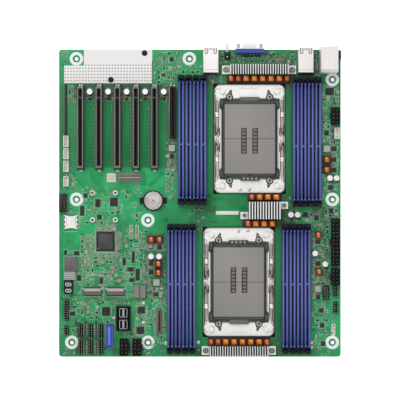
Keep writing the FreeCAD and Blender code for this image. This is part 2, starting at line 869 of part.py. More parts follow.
def socket_cover():
    """One pick-up cover round the origin, with end tabs, a middle groove and two grip ladders."""
    foot = socket_height + cover_rest_gap
    cover = cut_corner_plate(cover_width, cover_length, foot, cover_thickness, cover_corner_cut)
    plug = cut_corner_plate(socket_pocket_width - 2 * cover_plug_side_gap,
                            socket_pocket_length - 2 * cover_plug_end_gap,
                            foot - cover_plug_depth, cover_plug_depth, cover_corner_cut)
    cover = cover.fuse(plug)
    for side in (-1, 1):
        tab_y = side * (cover_length / 2 + cover_tab_length / 2)
        cover = cover.fuse(block(0, tab_y, foot, cover_tab_width, cover_tab_length, cover_tab_thickness))
    top = foot + cover_thickness
    groove = block(0, 0, top - cover_groove_depth, cover_width, cover_groove_width, cover_groove_depth)
    cover = cover.cut(groove)
    first = -grip_pitch * (grip_rungs - 1) / 2
    for side in (-1, 1):
        for rung in range(grip_rungs):
            slot = block(side * grip_offset, first + rung * grip_pitch, top - grip_slot_depth,
                         grip_slot_width, grip_slot_length, grip_slot_depth)
            cover = cover.cut(slot)
    return cover.removeSplitter()


def backplates():
    """The steel plates under the board that carry both sockets, each with two windows and a rib."""
    plates = []
    drop = -board_thickness - backplate_thickness
    step = (backplate_window_length + backplate_rib) / 2
    for x, y, _ in socket_centres():
        outer = plate(x, y, drop, backplate_width, backplate_length, backplate_thickness, bolster_corner)
        for side in (-1, 1):
            window = plate(x, y + side * step, drop, backplate_window_width, backplate_window_length,
                           backplate_thickness, bolster_mouth_corner)
            outer = outer.cut(window)
        plates.append(outer)
    return plates


def choke_row(x, y, pattern):
    """The x, y and width of each choke in a row of big and small ones, centred on x."""
    widths = [choke_small_width if letter == "s" else choke_width for letter in pattern]
    total = sum(widths) + choke_gap * (len(widths) - 1)
    places = []
    edge = x - total / 2
    for width in widths:
        places.append((edge + width / 2, y, width))
        edge += width + choke_gap
    return places


def choke_places():
    """The x, y and width of every choke."""
    places = choke_row(rear_sink_x, rear_choke_y, rear_row_pattern)
    places += choke_row(middle_sink_x, middle_rear_choke_y, middle_row_pattern)
    places += choke_row(middle_sink_x - middle_front_row_shift, middle_front_choke_y, middle_row_pattern)
    places += choke_row(front_sink_x, front_choke_y, rear_row_pattern)
    singles = edge_places(chokes_west_front, chokes_east_rear, chokes_east_front)
    places += [(x, y, choke_small_width) for x, y in singles]
    return places


def choke_cores():
    """The ferrite blocks of the chokes and the grey inductors."""
    tall = choke_height - choke_coil_height
    cores = [block(x, y, 0, width, choke_depth, tall) for x, y, width in choke_places()]
    return cores


def choke_coils():
    """The flat copper tops of the chokes."""
    foot = choke_height - choke_coil_height
    margin = 2 * choke_coil_margin
    return [plate(x, y, foot, width - margin, choke_depth - margin, choke_coil_height, choke_coil_margin)
            for x, y, width in choke_places()]


def grey_inductors():
    """The low grey inductors."""
    x8_end = slot_rear_gap + x8_length
    behind_slot = [(west, x8_end + gap) for west, gap in grey_inductors_slot_front]
    places = west_places(behind_slot) + edge_places(grey_inductors_west_front, grey_inductors_east_rear,
                                                    grey_inductors_east_front)
    return [plate(x, y, 0, grey_inductor_width, grey_inductor_width, grey_inductor_height, choke_coil_margin)
            for x, y in places]


def finned_sink(x, y, width, depth, count, pitch, thickness, tab_depth, tab_step):
    """A heat sink: a base with a screw tab at each end and a comb of upright fins."""
    sink = block(x, y, sink_foot, width, depth, sink_base)
    for side in (-1, 1):
        tab_x = x + side * (width / 2 + sink_tab / 2)
        sink = sink.fuse(block(tab_x, y + side * tab_step, sink_foot, sink_tab, tab_depth, sink_base))
    first = x - pitch * (count - 1) / 2
    fins = [block(first + pitch * index, y, sink_foot + sink_base, thickness, depth, fin_height - sink_base)
            for index in range(count)]
    sink = sink.fuse(fins).removeSplitter()
    return sink


def sink_bores():
    """The screw bores of all heat sinks."""
    return Part.makeCompound([post(x, y, 0, screw_radius + screw_clearance, fin_height)
                              for x, y in sink_screw_places()])


def end_sink(x, y):
    """A long heat sink at the rear or front of the board."""
    return finned_sink(x, y, sink_width, sink_depth, fin_count, fin_pitch, fin_thickness,
                       sink_depth - sink_tab_trim, 0)


def middle_sink():
    """The heat sink between the sockets, with its tabs at opposite corners."""
    step = (middle_sink_depth - middle_tab_depth) / 2
    return finned_sink(middle_sink_x, middle_sink_y, middle_sink_width, middle_sink_depth, middle_fin_count,
                       middle_fin_pitch, middle_fin_thickness, middle_tab_depth, step)


def sink_screws():
    """The screws that hold the heat sinks, through the board."""
    screws = []
    for x, y in sink_screw_places():
        head_foot = sink_foot + sink_base
        shank_length = board_thickness + screw_tail + head_foot
        shank = post(x, y, -board_thickness - screw_tail, screw_radius, shank_length)
        head = post(x, y, head_foot, screw_head_radius, screw_head_height)
        recess = post(x, y, head_foot + screw_head_height / 2, screw_radius / 2, screw_head_height)
        screws.append(shank.fuse(head).cut(recess))
    return screws


def stage_places():
    """The middles of the power stages under the heat sinks."""
    places = []
    for x, y in ((rear_sink_x, rear_sink_y), (front_sink_x, front_sink_y)):
        places += [(place[0], y) for place in choke_row(x, y, rear_row_pattern)]
    for y in (middle_sink_y - middle_sink_depth / 4, middle_sink_y + middle_sink_depth / 4):
        places += [(place[0], y) for place in choke_row(middle_sink_x, y, middle_row_pattern)]
    return places


def power_stages():
    """The regulator chips under the heat sinks."""
    return [block(x, y, 0, stage_width, stage_depth, stage_height) for x, y in stage_places()]


def thermal_pads():
    """Soft pads between the power stages and the heat sinks."""
    pads = []
    for x, y, width, depth in (
        (rear_sink_x, rear_sink_y, sink_width, stage_depth),
        (front_sink_x, front_sink_y, sink_width, stage_depth),
        (middle_sink_x, middle_sink_y, middle_sink_width, middle_sink_depth - stage_depth / 2),
    ):
        pads.append(block(x, y, stage_height, width, depth, pad_height))
    return pads


def can_places():
    """The middles of the polymer capacitors."""
    between = slot_places()
    places = [(x + slot_pitch / 2, rear_edge(slot_rear_gap + can_slot_setback)) for x in between[:-1]]
    places += [(east_edge(east), bank_b_front - gap) for east, gap in cans_bank_front]
    return places + edge_places(cans_west_front, cans_east_rear, cans_east_front)


def capacitor_bases():
    """The square plastic feet of the capacitors, with two cut corners."""
    feet = []
    half = can_base_size / 2
    for x, y in can_places():
        outline = [(half, half, 0), (-half, half, 0), (-half, can_base_cut - half, 0),
                   (can_base_cut - half, -half, 0), (half - can_base_cut, -half, 0),
                   (half, can_base_cut - half, 0)]
        feet.append(prism(outline, Vector(x, y, board_top), Vector(0, 0, can_base_height)))
    return feet


def capacitor_cans():
    """The round cans of the capacitors, each with a rolled neck."""
    cans = []
    for x, y in can_places():
        can = post(x, y, can_base_height, can_radius, can_height)
        ring = post(x, y, can_base_height + can_groove_height, can_radius, can_neck)
        core = post(x, y, can_base_height + can_groove_height, can_radius - can_neck, can_neck)
        cans.append(can.cut(ring.cut(core)))
    return cans


def mouth_box(x, floor, width, height, depth, overhang):
    """A port cavity that opens at the rear."""
    face_y = board_rear + overhang
    return block(x, face_y - depth / 2, floor, width, depth, height)


lan_1_x = socket_1_x - lan_1_shift
stack_x = east_edge(stack_inset)
lan_2_x = stack_x - lan_2_shift


def lan_port(x):
    """One network port: a steel can with a mouth at the rear."""
    y = board_rear + port_overhang - lan_depth / 2
    body = block(x, y, 0, lan_width, lan_depth, lan_height)
    mouth = mouth_box(x, lan_cavity_floor, lan_cavity_width, lan_cavity_height, lan_cavity_depth,
                      port_overhang)
    return body.cut(mouth)


def lan_ports():
    """The two single network ports."""
    return [lan_port(lan_1_x), lan_port(lan_2_x)]


def port_stack():
    """The tall stack of two flat ports under a network port, with a bevelled upper front corner."""
    rear_y = board_rear + stack_overhang
    front_y = rear_y - stack_depth
    outline = [(0, rear_y, 0), (0, rear_y, stack_height), (0, front_y + stack_bevel, stack_height),
               (0, front_y, stack_height - stack_bevel), (0, front_y, 0)]
    body = prism(outline, Vector(stack_x - stack_width / 2, 0, board_top), Vector(stack_width, 0, 0))
    body = body.cut(mouth_box(stack_x, stack_lan_floor, lan_cavity_width, lan_cavity_height,
                              lan_cavity_depth, stack_overhang))
    for floor in usb_floors:
        body = body.cut(mouth_box(stack_x, floor, usb_cavity_width, usb_cavity_height, usb_cavity_depth,
                                  stack_overhang))
    return [body]


def port_tongues():
    """The plastic tongues of the flat ports."""
    tongues = []
    for floor in usb_floors:
        depth = usb_cavity_depth - usb_tongue_setback
        back_y = board_rear + stack_overhang - usb_cavity_depth
        height = floor + usb_cavity_height - usb_tongue_thickness - usb_tongue_gap
        tongues.append(block(stack_x, back_y + depth / 2, height, usb_tongue_width, depth,
                             usb_tongue_thickness))
    return tongues


def shell_outline(width, height, slope):
    """The D shape of the video connector in the XZ plane."""
    x, z = width / 2, height / 2
    return [(-x, 0, z), (x, 0, z), (x - slope, 0, -z), (slope - x, 0, -z)]


def vga_shell():
    """The steel flange and D shaped sleeve of the video connector."""
    flange_y = board_rear + vga_flange_thickness / 2
    flange = block(socket_1_x, flange_y, 0, vga_flange_width, vga_flange_thickness, vga_height)
    start = Vector(socket_1_x, board_rear, board_top + vga_axis_height)
    travel = Vector(0, vga_overhang, 0)
    sleeve = prism(shell_outline(vga_shell_width, vga_shell_height, vga_slope), start, travel)
    inner_width = vga_shell_width - 2 * vga_shell_wall
    inner_height = vga_shell_height - 2 * vga_shell_wall
    hollow = prism(shell_outline(inner_width, inner_height, vga_slope), start, travel)
    shell = flange.fuse(sleeve).cut(hollow)
    for side in (-1, 1):
        centre = Vector(socket_1_x + side * vga_screw_offset, board_rear, board_top + vga_axis_height)
        shell = shell.cut(Part.makeCylinder(vga_screw_bore, vga_flange_thickness, centre, Vector(0, 1, 0)))
    return [shell.removeSplitter()]


def vga_body():
    """The blue body of the video connector with the insert that fills its sleeve."""
    y = board_rear - vga_body_depth / 2
    body = block(socket_1_x, y, 0, vga_flange_width, vga_body_depth, vga_height)
    inner_width = vga_shell_width - 2 * (vga_shell_wall + part_gap)
    inner_height = vga_shell_height - 2 * (vga_shell_wall + part_gap)
    start = Vector(socket_1_x, board_rear, board_top + vga_axis_height)
    insert = prism(shell_outline(inner_width, inner_height, vga_slope), start,
                   Vector(0, vga_overhang - vga_shell_wall, 0))
    return [body.fuse(insert)]


def vga_screws():
    """The two hexagonal posts beside the sleeve, each with a threaded bore."""
    posts = []
    for side in (-1, 1):
        centre = Vector(socket_1_x + side * vga_screw_offset, board_rear + vga_flange_thickness,
                        board_top + vga_axis_height)
        corners = [(vga_screw_radius * math.cos(math.radians(60 * step)), 0,
                    vga_screw_radius * math.sin(math.radians(60 * step))) for step in range(6)]
        nut = prism(corners, centre, Vector(0, vga_screw_length, 0))
        bore = Part.makeCylinder(vga_screw_bore, vga_screw_length, centre, Vector(0, 1, 0))
        posts.append(nut.cut(bore))
    return posts


button_x = socket_1_x - button_shift


def button_body():
    """The block of the push button, with the bore that guides the plunger."""
    y = rear_edge(button_setback + button_depth / 2)
    body = block(button_x, y, 0, button_width, button_depth, button_height)
    start = Vector(button_x, rear_edge(button_setback), board_top + button_axis_height)
    bore_depth = plunger_inside + plunger_travel_room
    bore = Part.makeCylinder(plunger_radius + plunger_play, bore_depth, start, Vector(0, -1, 0))
    return [body.cut(bore)]


def button_plunger():
    """The clear plunger that reaches out past the rear edge."""
    start = Vector(button_x, rear_edge(button_setback + plunger_inside), board_top + button_axis_height)
    length = plunger_inside + button_setback + plunger_reach
    return [Part.makeCylinder(plunger_radius, length, start, Vector(0, 1, 0))]


def power_header(x, y, rows, rail_side):
    """A keyed power header with two columns of square cells and a latch rail on one side."""
    length = power_pitch * rows + 2 * power_rim
    body = block(x, y, 0, power_width, length, power_height)
    rail_x = x + rail_side * (power_width / 2 + power_rail_width / 2)
    rail = block(rail_x, y, power_height / 2, power_rail_width, power_rail_length, power_height / 2)
    body = body.fuse(rail)
    for cell_x, cell_y in grid_places(x, y, 2, rows, power_pitch):
        body = body.cut(block(cell_x, cell_y, power_floor, power_cell, power_cell, power_height))
    return body


def grid_places(x, y, columns, rows, pitch):
    """The middles of a grid of pins or cells centred on x and y."""
    first_x = x - pitch * (columns - 1) / 2
    first_y = y - pitch * (rows - 1) / 2
    return [(first_x + pitch * column, first_y + pitch * row)
            for column in range(columns) for row in range(rows)]


def power_header_places():
    """The x, y, rows and rail side of each power header."""
    main_length = power_pitch * main_power_rows + 2 * power_rim
    short_length = power_pitch * eight_pin_rows + 2 * power_rim
    x = east_edge(power_inset_east)
    places = [
        (x, rear_edge(main_power_rear + main_length / 2), main_power_rows, -1),
        (x, rear_edge(main_power_rear + main_length + eight_pin_gap + short_length / 2), eight_pin_rows, -1),
        (x, rear_edge(eight_pin_rear_place), eight_pin_rows, -1),
    ]
    for west in front_power_west:
        places.append((west_edge(west), front_edge(front_power_setback), eight_pin_rows, 1))
    return places


def power_headers():
    """All power headers."""
    return [power_header(*place) for place in power_header_places()]


def fan_header(x, y, length, side):
    """A light header with an open side wall that keys the plug."""
    base = block(x, y, 0, fan_header_width, length, fan_header_height)
    hollow = block(x, y, fan_floor, fan_header_width - 2 * fan_wall, length - 2 * fan_wall,
                   fan_header_height)
    notch = block(x + side * fan_header_width / 2, y, fan_floor, fan_header_width / 2, length / 3,
                  fan_header_height)
    return base.cut(hollow).cut(notch)


def fan_header_places():
    """The x, y, length and side of each light header."""
    x = west_edge(fan_header_west)
    places = [(x, rear_edge(rear), fan_header_length, 1) for rear in fan_headers_rear]
    places.append((x, rear_edge(short_header_rear), short_header_length, 1))
    places.append((east_edge(fan_header_east), rear_edge(fan_header_east_rear), fan_header_length, -1))
    return places


def fan_headers():
    """All light headers."""
    return [fan_header(*place) for place in fan_header_places()]


def pin_header_places():
    """The x, y, columns and rows of each black pin header."""
    strip_y = rear_edge(strip_rear + pin_pitch * strip_pins / 2)
    places = [(west_edge(strip_west), strip_y, 1, strip_pins)]
    for index in range(jumper_count):
        x = west_edge(jumper_first_west + jumper_pitch_x * index)
        places += [(x, front_edge(front), 2, jumper_rows) for front in jumper_front_places]
    places.append((west_edge(panel_header_west), front_edge(panel_header_front), 2, panel_header_rows))
    places.append((west_edge(panel_header_west), front_edge(panel_short_front), 2, panel_short_rows))
    places += [(east_edge(east), front_edge(front), 2, east_header_rows)
               for east, front in east_header_places]
    return places


def pin_header_bases():
    """The black strips that hold the header pins."""
    bases = []
    for x, y, columns, rows in pin_header_places():
        bases.append(block(x, y, 0, pin_pitch * columns, pin_pitch * rows, pin_base_height))
    return bases


def contact_pins():
    """The metal pins of the pin headers, light headers and power headers."""
    pins = []
    for x, y, columns, rows in pin_header_places():
        pins += [block(px, py, pin_base_height, pin_size, pin_size, pin_height - pin_base_height)
                 for px, py in grid_places(x, y, columns, rows, pin_pitch)]
    for x, y, _, _ in fan_header_places():
        pins += [block(px, py, fan_floor, pin_size, pin_size, fan_header_height - fan_floor)
                 for px, py in grid_places(x, y, 1, fan_pins, pin_pitch)]
    power_pin_height = power_height - power_pin_drop - power_floor
    for x, y, rows, _ in power_header_places():
        pins += [block(px, py, power_floor, power_pin_size, power_pin_size, power_pin_height)
                 for px, py in grid_places(x, y, 2, rows, power_pitch)]
    return pins


def walled_box(x, y, width, length, height, wall, floor):
    """An open topped box."""
    body = block(x, y, 0, width, length, height)
    return body.cut(block(x, y, floor, width - 2 * wall, length - 2 * wall, height))


def usb_header():
    """The blue shrouded header with its inner pin carrier."""
    x, y = west_edge(usb_header_west), front_edge(usb_header_front)
    body = walled_box(x, y, usb_header_width, usb_header_length, usb_header_height, usb_header_wall,
                      usb_header_wall)
    tongue = block(x, y, 0, usb_header_width / 4, usb_header_length - 4 * usb_header_wall,
                   usb_header_height - usb_header_wall)
    return [body.fuse(tongue)]


def cable_port():
    """The dual cable port: two cavities in a row, each with a contact blade, and a channel at each side."""
    x, y = west_edge(cable_port_west), front_edge(cable_port_front)
    body = block(x, y, 0, cable_port_width, cable_port_length, cable_port_height)
    cell_length = (cable_port_length - 3 * cable_port_wall) / 2
    blade_height = cable_port_height - cable_port_wall
    for side in (-1, 1):
        cell_y = y + side * (cell_length + cable_port_wall) / 2
        body = body.cut(block(x, cell_y, cable_port_wall, cable_port_cell_width, cell_length,
                              cable_port_height))
        body = body.fuse(block(x, cell_y, 0, cable_port_blade, cell_length - 2 * cable_port_wall,
                               blade_height))
        channel_x = x + side * (cable_port_width / 2 - cable_port_wall - cable_port_channel / 2)
        body = body.cut(block(channel_x, y, cable_port_height - cable_port_channel_depth,
                              cable_port_channel, cable_port_length - 2 * cable_port_wall,
                              cable_port_channel_depth))
    return [body.removeSplitter()]


def slim_connectors():
    """The upright and flat slim connectors and the side header."""
    x, y = west_edge(slim_upright_west), front_edge(slim_upright_front)
    upright = block(x, y, 0, slim_width, slim_length, slim_height)
    upright = upright.cut(block(x, y, slim_height / 3, slim_groove, slim_length - slim_width, slim_height))
    x, y = west_edge(slim_flat_west), rear_edge(slot_rear_gap + x16_length + slim_flat_setback)
    flat = block(x, y, 0, slim_flat_length, slim_flat_depth, slim_flat_height)
    flat = flat.cut(block(x, y, slim_flat_height / 2, slim_flat_length - slim_flat_depth, slim_groove,
                          slim_flat_height))
    x, y = west_edge(side_header_west), rear_edge(side_header_rear)
    side = block(x, y, 0, side_header_width, side_header_length, side_header_height)
    return [upright, flat, side]


def m2_sockets():
    """The two card sockets, with mouths that face the rear."""
    sockets = []
    for west in m2_places_west:
        x, y = west_edge(west), front_edge(m2_front)
        body = block(x, y, 0, m2_width, m2_depth, m2_height)
        mouth = block(x, y + (m2_depth - m2_mouth_depth) / 2, m2_mouth_floor, m2_width - 2 * m2_mouth,
                      m2_mouth_depth, m2_mouth)
        sockets.append(body.cut(mouth))
    return sockets


def m2_standoffs():
    """The round standoffs that carry the far end of a card."""
    standoffs = []
    for x, y in standoff_places():
        foot = post(x, y, 0, standoff_radius, standoff_flange)
        stem = post(x, y, 0, standoff_post_radius, standoff_height)
        standoffs.append(foot.fuse(stem).cut(post(x, y, 0, standoff_bore, standoff_height)))
    return standoffs


def card_socket():
    """The flat memory card socket: a steel shell with dished ends."""
    x, y = west_edge(card_west), rear_edge(card_rear)
    body = block(x, y, 0, card_width, card_length, card_height)
    radius = (card_width ** 2 / 4 + card_dish ** 2) / (2 * card_dish)
    for side in (-1, 1):
        body = body.cut(post(x, y + side * (card_length / 2 - card_dish + radius), 0, radius, card_height))
    slit = block(x, y, card_wall * 2, card_width - 4 * card_wall, card_length, card_height - 3 * card_wall)
    return [body.cut(slit)]


cell_x = west_edge(cell_west)
cell_y = rear_edge(cell_rear)


def battery_holder():
    """The black ring that holds the coin cell, open at the front and rear for a finger."""
    outer = post(cell_x, cell_y, 0, holder_radius, holder_height)
    lobes = block(cell_x, cell_y, 0, 2 * (holder_radius + holder_lobe), holder_lobe * 2, cell_floor)
    outer = outer.fuse(lobes)
    well = post(cell_x, cell_y, cell_floor, cell_radius + holder_clearance, holder_height)
    window = block(cell_x, cell_y, cell_floor, holder_window, 3 * holder_radius, holder_height)
    return [outer.cut(well).cut(window).removeSplitter()]


def coin_cell():
    """The coin cell with its stepped rim."""
    can = post(cell_x, cell_y, cell_floor, cell_radius, cell_thickness - cell_step)
    return [can.fuse(post(cell_x, cell_y, cell_floor, cell_step_radius, cell_thickness))]


def chips():
    """Every plain chip and the large chip on its carrier."""
    pieces = []
    west, front, width, length = large_chip
    x, y = west_edge(west), front_edge(front)
    carrier = block(x, y, 0, width, length, large_chip_base)
    margin = 2 * large_chip_margin
    cap = block(x, y, large_chip_base, width - margin, length - margin, large_chip_height - large_chip_base)
    pieces.append(carrier.fuse(cap))
    for place, across, along in (
        (chips_west_rear, west_edge, rear_edge), (chips_west_front, west_edge, front_edge),
        (chips_east_rear, east_edge, rear_edge), (chips_east_front, east_edge, front_edge),
    ):
        pieces += [block(across(u), along(v), 0, width, length, chip_height)
                   for u, v, width, length in place]
    for west, gap, width, length in chips_slot_front:
        y = rear_edge(slot_rear_gap + x8_length + gap)
        pieces.append(block(west_edge(west), y, 0, width, length, chip_height))
    for east, gap, width, length in chips_bank_front:
        pieces.append(block(east_edge(east), bank_b_front - gap, 0, width, length, chip_height))
    return pieces


def digit_display():
    """The two digit display block."""
    x, y = west_edge(digits_west), front_edge(digits_front)
    return [block(x, y, 0, digits_width, digits_length, digits_height)]


def grey_modules():
    """The plain grey modules near the west edge and the split one near the middle."""
    pieces = []
    for west, front, width, length, height in module_sizes:
        pieces.append(block(west_edge(west), front_edge(front), 0, width, length, height))
    y = front_edge(split_module_front)
    step = (split_module_width + split_module_gap) / 2
    for side in (-1, 1):
        x = west_edge(split_module_west) + side * step
        pieces.append(block(x, y, 0, split_module_width, split_module_length, split_module_height))
    return pieces


def write_memory_banks():
    """Write the housings and latch groups of the four memory banks."""
    housing = dimm_housing()
    latches = {"rear": dimm_latch(1), "front": dimm_latch(-1)}
    for letter, x, y, turn in bank_places():
        export("dimm_sockets_" + letter, bank_row(housing, x, y, turn))
        for end, latch in latches.items():
            export("dimm_latches_" + letter + "_" + end, bank_row(latch, x, y, 0))


def write_processor_sockets():
    """Write the parts of both processor sockets."""
    fasteners = []
    springs = []
    for number, (x, y, turn) in enumerate(socket_centres(), 1):
        export("bolster_plate_%d" % number, [turned(bolster(), x, y, turn)])
        export("cpu_socket_%d" % number, [turned(processor_socket(), x, y, turn)])
        export("socket_cover_%d" % number, [turned(socket_cover(), x, y, turn)])
        fasteners += [turned(piece, x, y, turn) for piece in bolster_fasteners()]
        springs += [turned(leaf_spring(side), x, y, turn) for side in (-1, 1)]
    export("bolster_fasteners", fasteners)
    export("bolster_springs", springs)
    export("cpu_backplates", backplates())


def write_heat_sinks():
    """Write the heat sinks with their screw bores, and what lies under them."""
    bores = sink_bores()
    export("rear_heat_sink", [end_sink(rear_sink_x, rear_sink_y).cut(bores)])
    export("middle_heat_sink", [middle_sink().cut(bores)])
    export("front_heat_sink", [end_sink(front_sink_x, front_sink_y).cut(bores)])
    export("heat_sink_screws", sink_screws())
    export("thermal_pads", thermal_pads())
    export("power_stages", power_stages())


def main():
    """Write every node."""
    os.makedirs("parts", exist_ok=True)
    export("circuit_board", circuit_board())
    export("slot_insulator", slot_insulator())
    export("insulator_rivets", insulator_rivets())
    export("slot_housings", slot_housings())
    export("slot_shells", slot_shells())
    write_memory_banks()
    write_processor_sockets()
    write_heat_sinks()
    export("choke_cores", choke_cores())
    export("choke_coils", choke_coils())
    export("grey_inductors", grey_inductors())
    export("capacitor_bases", capacitor_bases())
    export("capacitor_cans", capacitor_cans())
    export("lan_ports", lan_ports())
    export("port_stack", port_stack())
    export("port_tongues", port_tongues())
    export("vga_shell", vga_shell())
    export("vga_body", vga_body())
    export("vga_screws", vga_screws())
    export("button_body", button_body())
    export("button_plunger", button_plunger())
    export("power_headers", power_headers())
    export("fan_headers", fan_headers())
    export("pin_header_bases", pin_header_bases())
    export("contact_pins", contact_pins())
    export("usb_header", usb_header())
    export("cable_port", cable_port())
    export("slim_connectors", slim_connectors())
    export("m2_sockets", m2_sockets())
    export("m2_standoffs", m2_standoffs())
    export("card_socket", card_socket())
    export("battery_holder", battery_holder())
    export("coin_cell", coin_cell())
    export("chips", chips())
    export("digit_display", digit_display())
    export("grey_modules", grey_modules())


main()
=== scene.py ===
"""Server motherboard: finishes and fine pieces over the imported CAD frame."""
import json
import math

import bmesh
import bpy
import numpy as np
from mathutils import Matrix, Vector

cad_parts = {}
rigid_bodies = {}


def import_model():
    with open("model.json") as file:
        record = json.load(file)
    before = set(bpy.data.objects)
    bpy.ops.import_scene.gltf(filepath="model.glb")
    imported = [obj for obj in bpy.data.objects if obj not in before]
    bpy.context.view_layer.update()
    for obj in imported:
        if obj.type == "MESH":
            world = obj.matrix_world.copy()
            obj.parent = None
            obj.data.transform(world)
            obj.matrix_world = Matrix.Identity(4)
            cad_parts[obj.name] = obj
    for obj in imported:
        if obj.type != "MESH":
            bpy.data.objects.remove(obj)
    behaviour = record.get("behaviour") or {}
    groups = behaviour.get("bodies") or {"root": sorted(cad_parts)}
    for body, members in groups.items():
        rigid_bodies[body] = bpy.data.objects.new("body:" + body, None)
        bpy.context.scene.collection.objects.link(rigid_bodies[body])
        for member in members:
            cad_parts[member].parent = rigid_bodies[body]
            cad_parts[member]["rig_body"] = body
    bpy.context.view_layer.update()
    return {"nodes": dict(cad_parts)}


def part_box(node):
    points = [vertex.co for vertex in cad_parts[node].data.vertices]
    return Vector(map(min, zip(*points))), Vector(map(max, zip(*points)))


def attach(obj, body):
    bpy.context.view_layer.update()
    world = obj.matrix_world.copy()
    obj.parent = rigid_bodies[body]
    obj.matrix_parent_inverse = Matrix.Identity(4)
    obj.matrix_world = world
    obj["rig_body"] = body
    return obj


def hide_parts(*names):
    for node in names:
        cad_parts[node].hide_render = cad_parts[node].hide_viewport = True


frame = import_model()

bl_info = {
    "name": "Server motherboard",
    "version": (1, 0, 0),
    "blender": (4, 5, 0),
    "location": "View3D > Sidebar > Motherboard",
    "description": "Dresses the packed motherboard with finishes, printed marks and small parts",
    "category": "Object",
}

MM = 0.001
RIGHT = math.pi / 2
BOARD_LOW, BOARD_HIGH = (np.array(corner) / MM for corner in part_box("circuit_board"))
BOARD_TOP = float(BOARD_HIGH[2])
BOARD_UNDER = float(BOARD_LOW[2])
PITCH = (BOARD_HIGH[0] - BOARD_LOW[0]) / 281.8
EDGE_COLUMN = 59.05
EDGE_ROW = 49.65
HOLE_CLEAR = 8.0
PART_REACH, PART_STEP, PART_PATCH, PART_SEED = 153.2, 2.05, 7.5, 7
CELL = 0.5


def tone(red, green, blue):
    """Linear colour of an sRGB triple given in 255ths."""
    part = np.array([red, green, blue]) / 255
    return tuple(np.where(part <= 0.04045, part / 12.92, ((part + 0.055) / 1.055) ** 2.4))


def spot(column, row):
    """Board place in mm: the column counted from the west edge and the row from the rear edge, times the pitch."""
    return np.array([BOARD_LOW[0] + (column - EDGE_COLUMN) * PITCH, BOARD_HIGH[1] - (row - EDGE_ROW) * PITCH])


# ---------------------------------------------------------------- shapes

class Form:
    """A shape in mm: points, the corners of its faces in one row, the corner count of each face, and point tints."""

    def __init__(self, points, corners, sizes, tint=None):
        self.points = np.asarray(points, float).reshape(-1, 3)
        self.corners = np.asarray(corners, int).ravel()
        self.sizes = np.asarray(sizes, int).ravel()
        self.tint = np.ones((len(self.points), 3)) if tint is None else np.asarray(tint, float)

    def __add__(self, other):
        return Form(np.concatenate([self.points, other.points]),
                    np.concatenate([self.corners, other.corners + len(self.points)]),
                    np.concatenate([self.sizes, other.sizes]),
                    np.concatenate([self.tint, other.tint]))

    def moved(self, x=0.0, y=0.0, z=0.0):
        """The shape with a vector added to every point."""
        return Form(self.points + np.array([x, y, z]), self.corners, self.sizes, self.tint)

    def painted(self, colour):
        """The shape with one tint."""
        return Form(self.points, self.corners, self.sizes, np.tile(colour, (len(self.points), 1)))

    def at(self, places, turns=0.0, stretch=1.0, tints=None):
        """Copies: points times a stretch, turned about Z by an angle in degrees, plus a place, for every row."""
        places = np.asarray(places, float).reshape(-1, np.shape(places)[-1])
        count = len(places)
        if places.shape[1] == 2:
            places = np.column_stack([places, np.zeros(count)])
        stretch = np.broadcast_to(np.asarray(stretch, float).reshape(-1, 1) if np.ndim(stretch) == 1 and
                                  np.shape(stretch)[0] == count and count != 3 else stretch, (count, 3))
        angle = np.radians(np.broadcast_to(turns, (count,)))[:, None]
        points = self.points[None] * stretch[:, None]
        x = points[..., 0] * np.cos(angle) - points[..., 1] * np.sin(angle)
        y = points[..., 0] * np.sin(angle) + points[..., 1] * np.cos(angle)
        points = np.stack([x, y, points[..., 2]], -1) + places[:, None]
        corners = self.corners[None] + np.arange(count)[:, None] * len(self.points)
        tint = np.tile(self.tint, (count, 1))
        if tints is not None:
            tint = np.repeat(np.asarray(tints, float).reshape(count, 3), len(self.points), 0)
        return Form(points, corners, np.tile(self.sizes, count), tint)


def joined(forms):
    """Many shapes as one."""
    start = np.cumsum([0] + [len(form.points) for form in forms[:-1]])
    return Form(np.concatenate([form.points for form in forms]),
                np.concatenate([form.corners + first for form, first in zip(forms, start)]),
                np.concatenate([form.sizes for form in forms]),
                np.concatenate([form.tint for form in forms]))


def rectangle(width, length, radius=0.0, steps=3):
    """A rectangle with round corners: four corner centres, each plus radius times (cos, sin) over a quarter turn."""
    steps = steps if radius else 0
    turn = (np.arange(4)[:, None] + np.linspace(0, 1, steps + 1)[None]).ravel() * RIGHT
    side_x = np.repeat([1, -1, -1, 1], steps + 1)
    side_y = np.repeat([1, 1, -1, -1], steps + 1)
    return np.column_stack([side_x * (width / 2 - radius) + radius * np.cos(turn),
                            side_y * (length / 2 - radius) + radius * np.sin(turn)])


def disc(radius, steps=24):
    """A circle: radius times (cos, sin) over a full turn."""
    turn = np.arange(steps) * 2 * math.pi / steps
    return radius * np.column_stack([np.cos(turn), np.sin(turn)])


def shrunk(outline, inset):
    """An outline with every edge moved in by the inset: points less the inset along the sum of both edge normals."""
    edge = np.roll(outline, -1, 0) - outline
    edge /= np.maximum(np.linalg.norm(edge, axis=1, keepdims=True), 1e-9)
    normal = np.column_stack([edge[:, 1], -edge[:, 0]])
    before = np.roll(normal, 1, 0)
    share = 1 + np.sum(normal * before, 1, keepdims=True)
    return outline - inset * (normal + before) / np.maximum(share, 0.2)


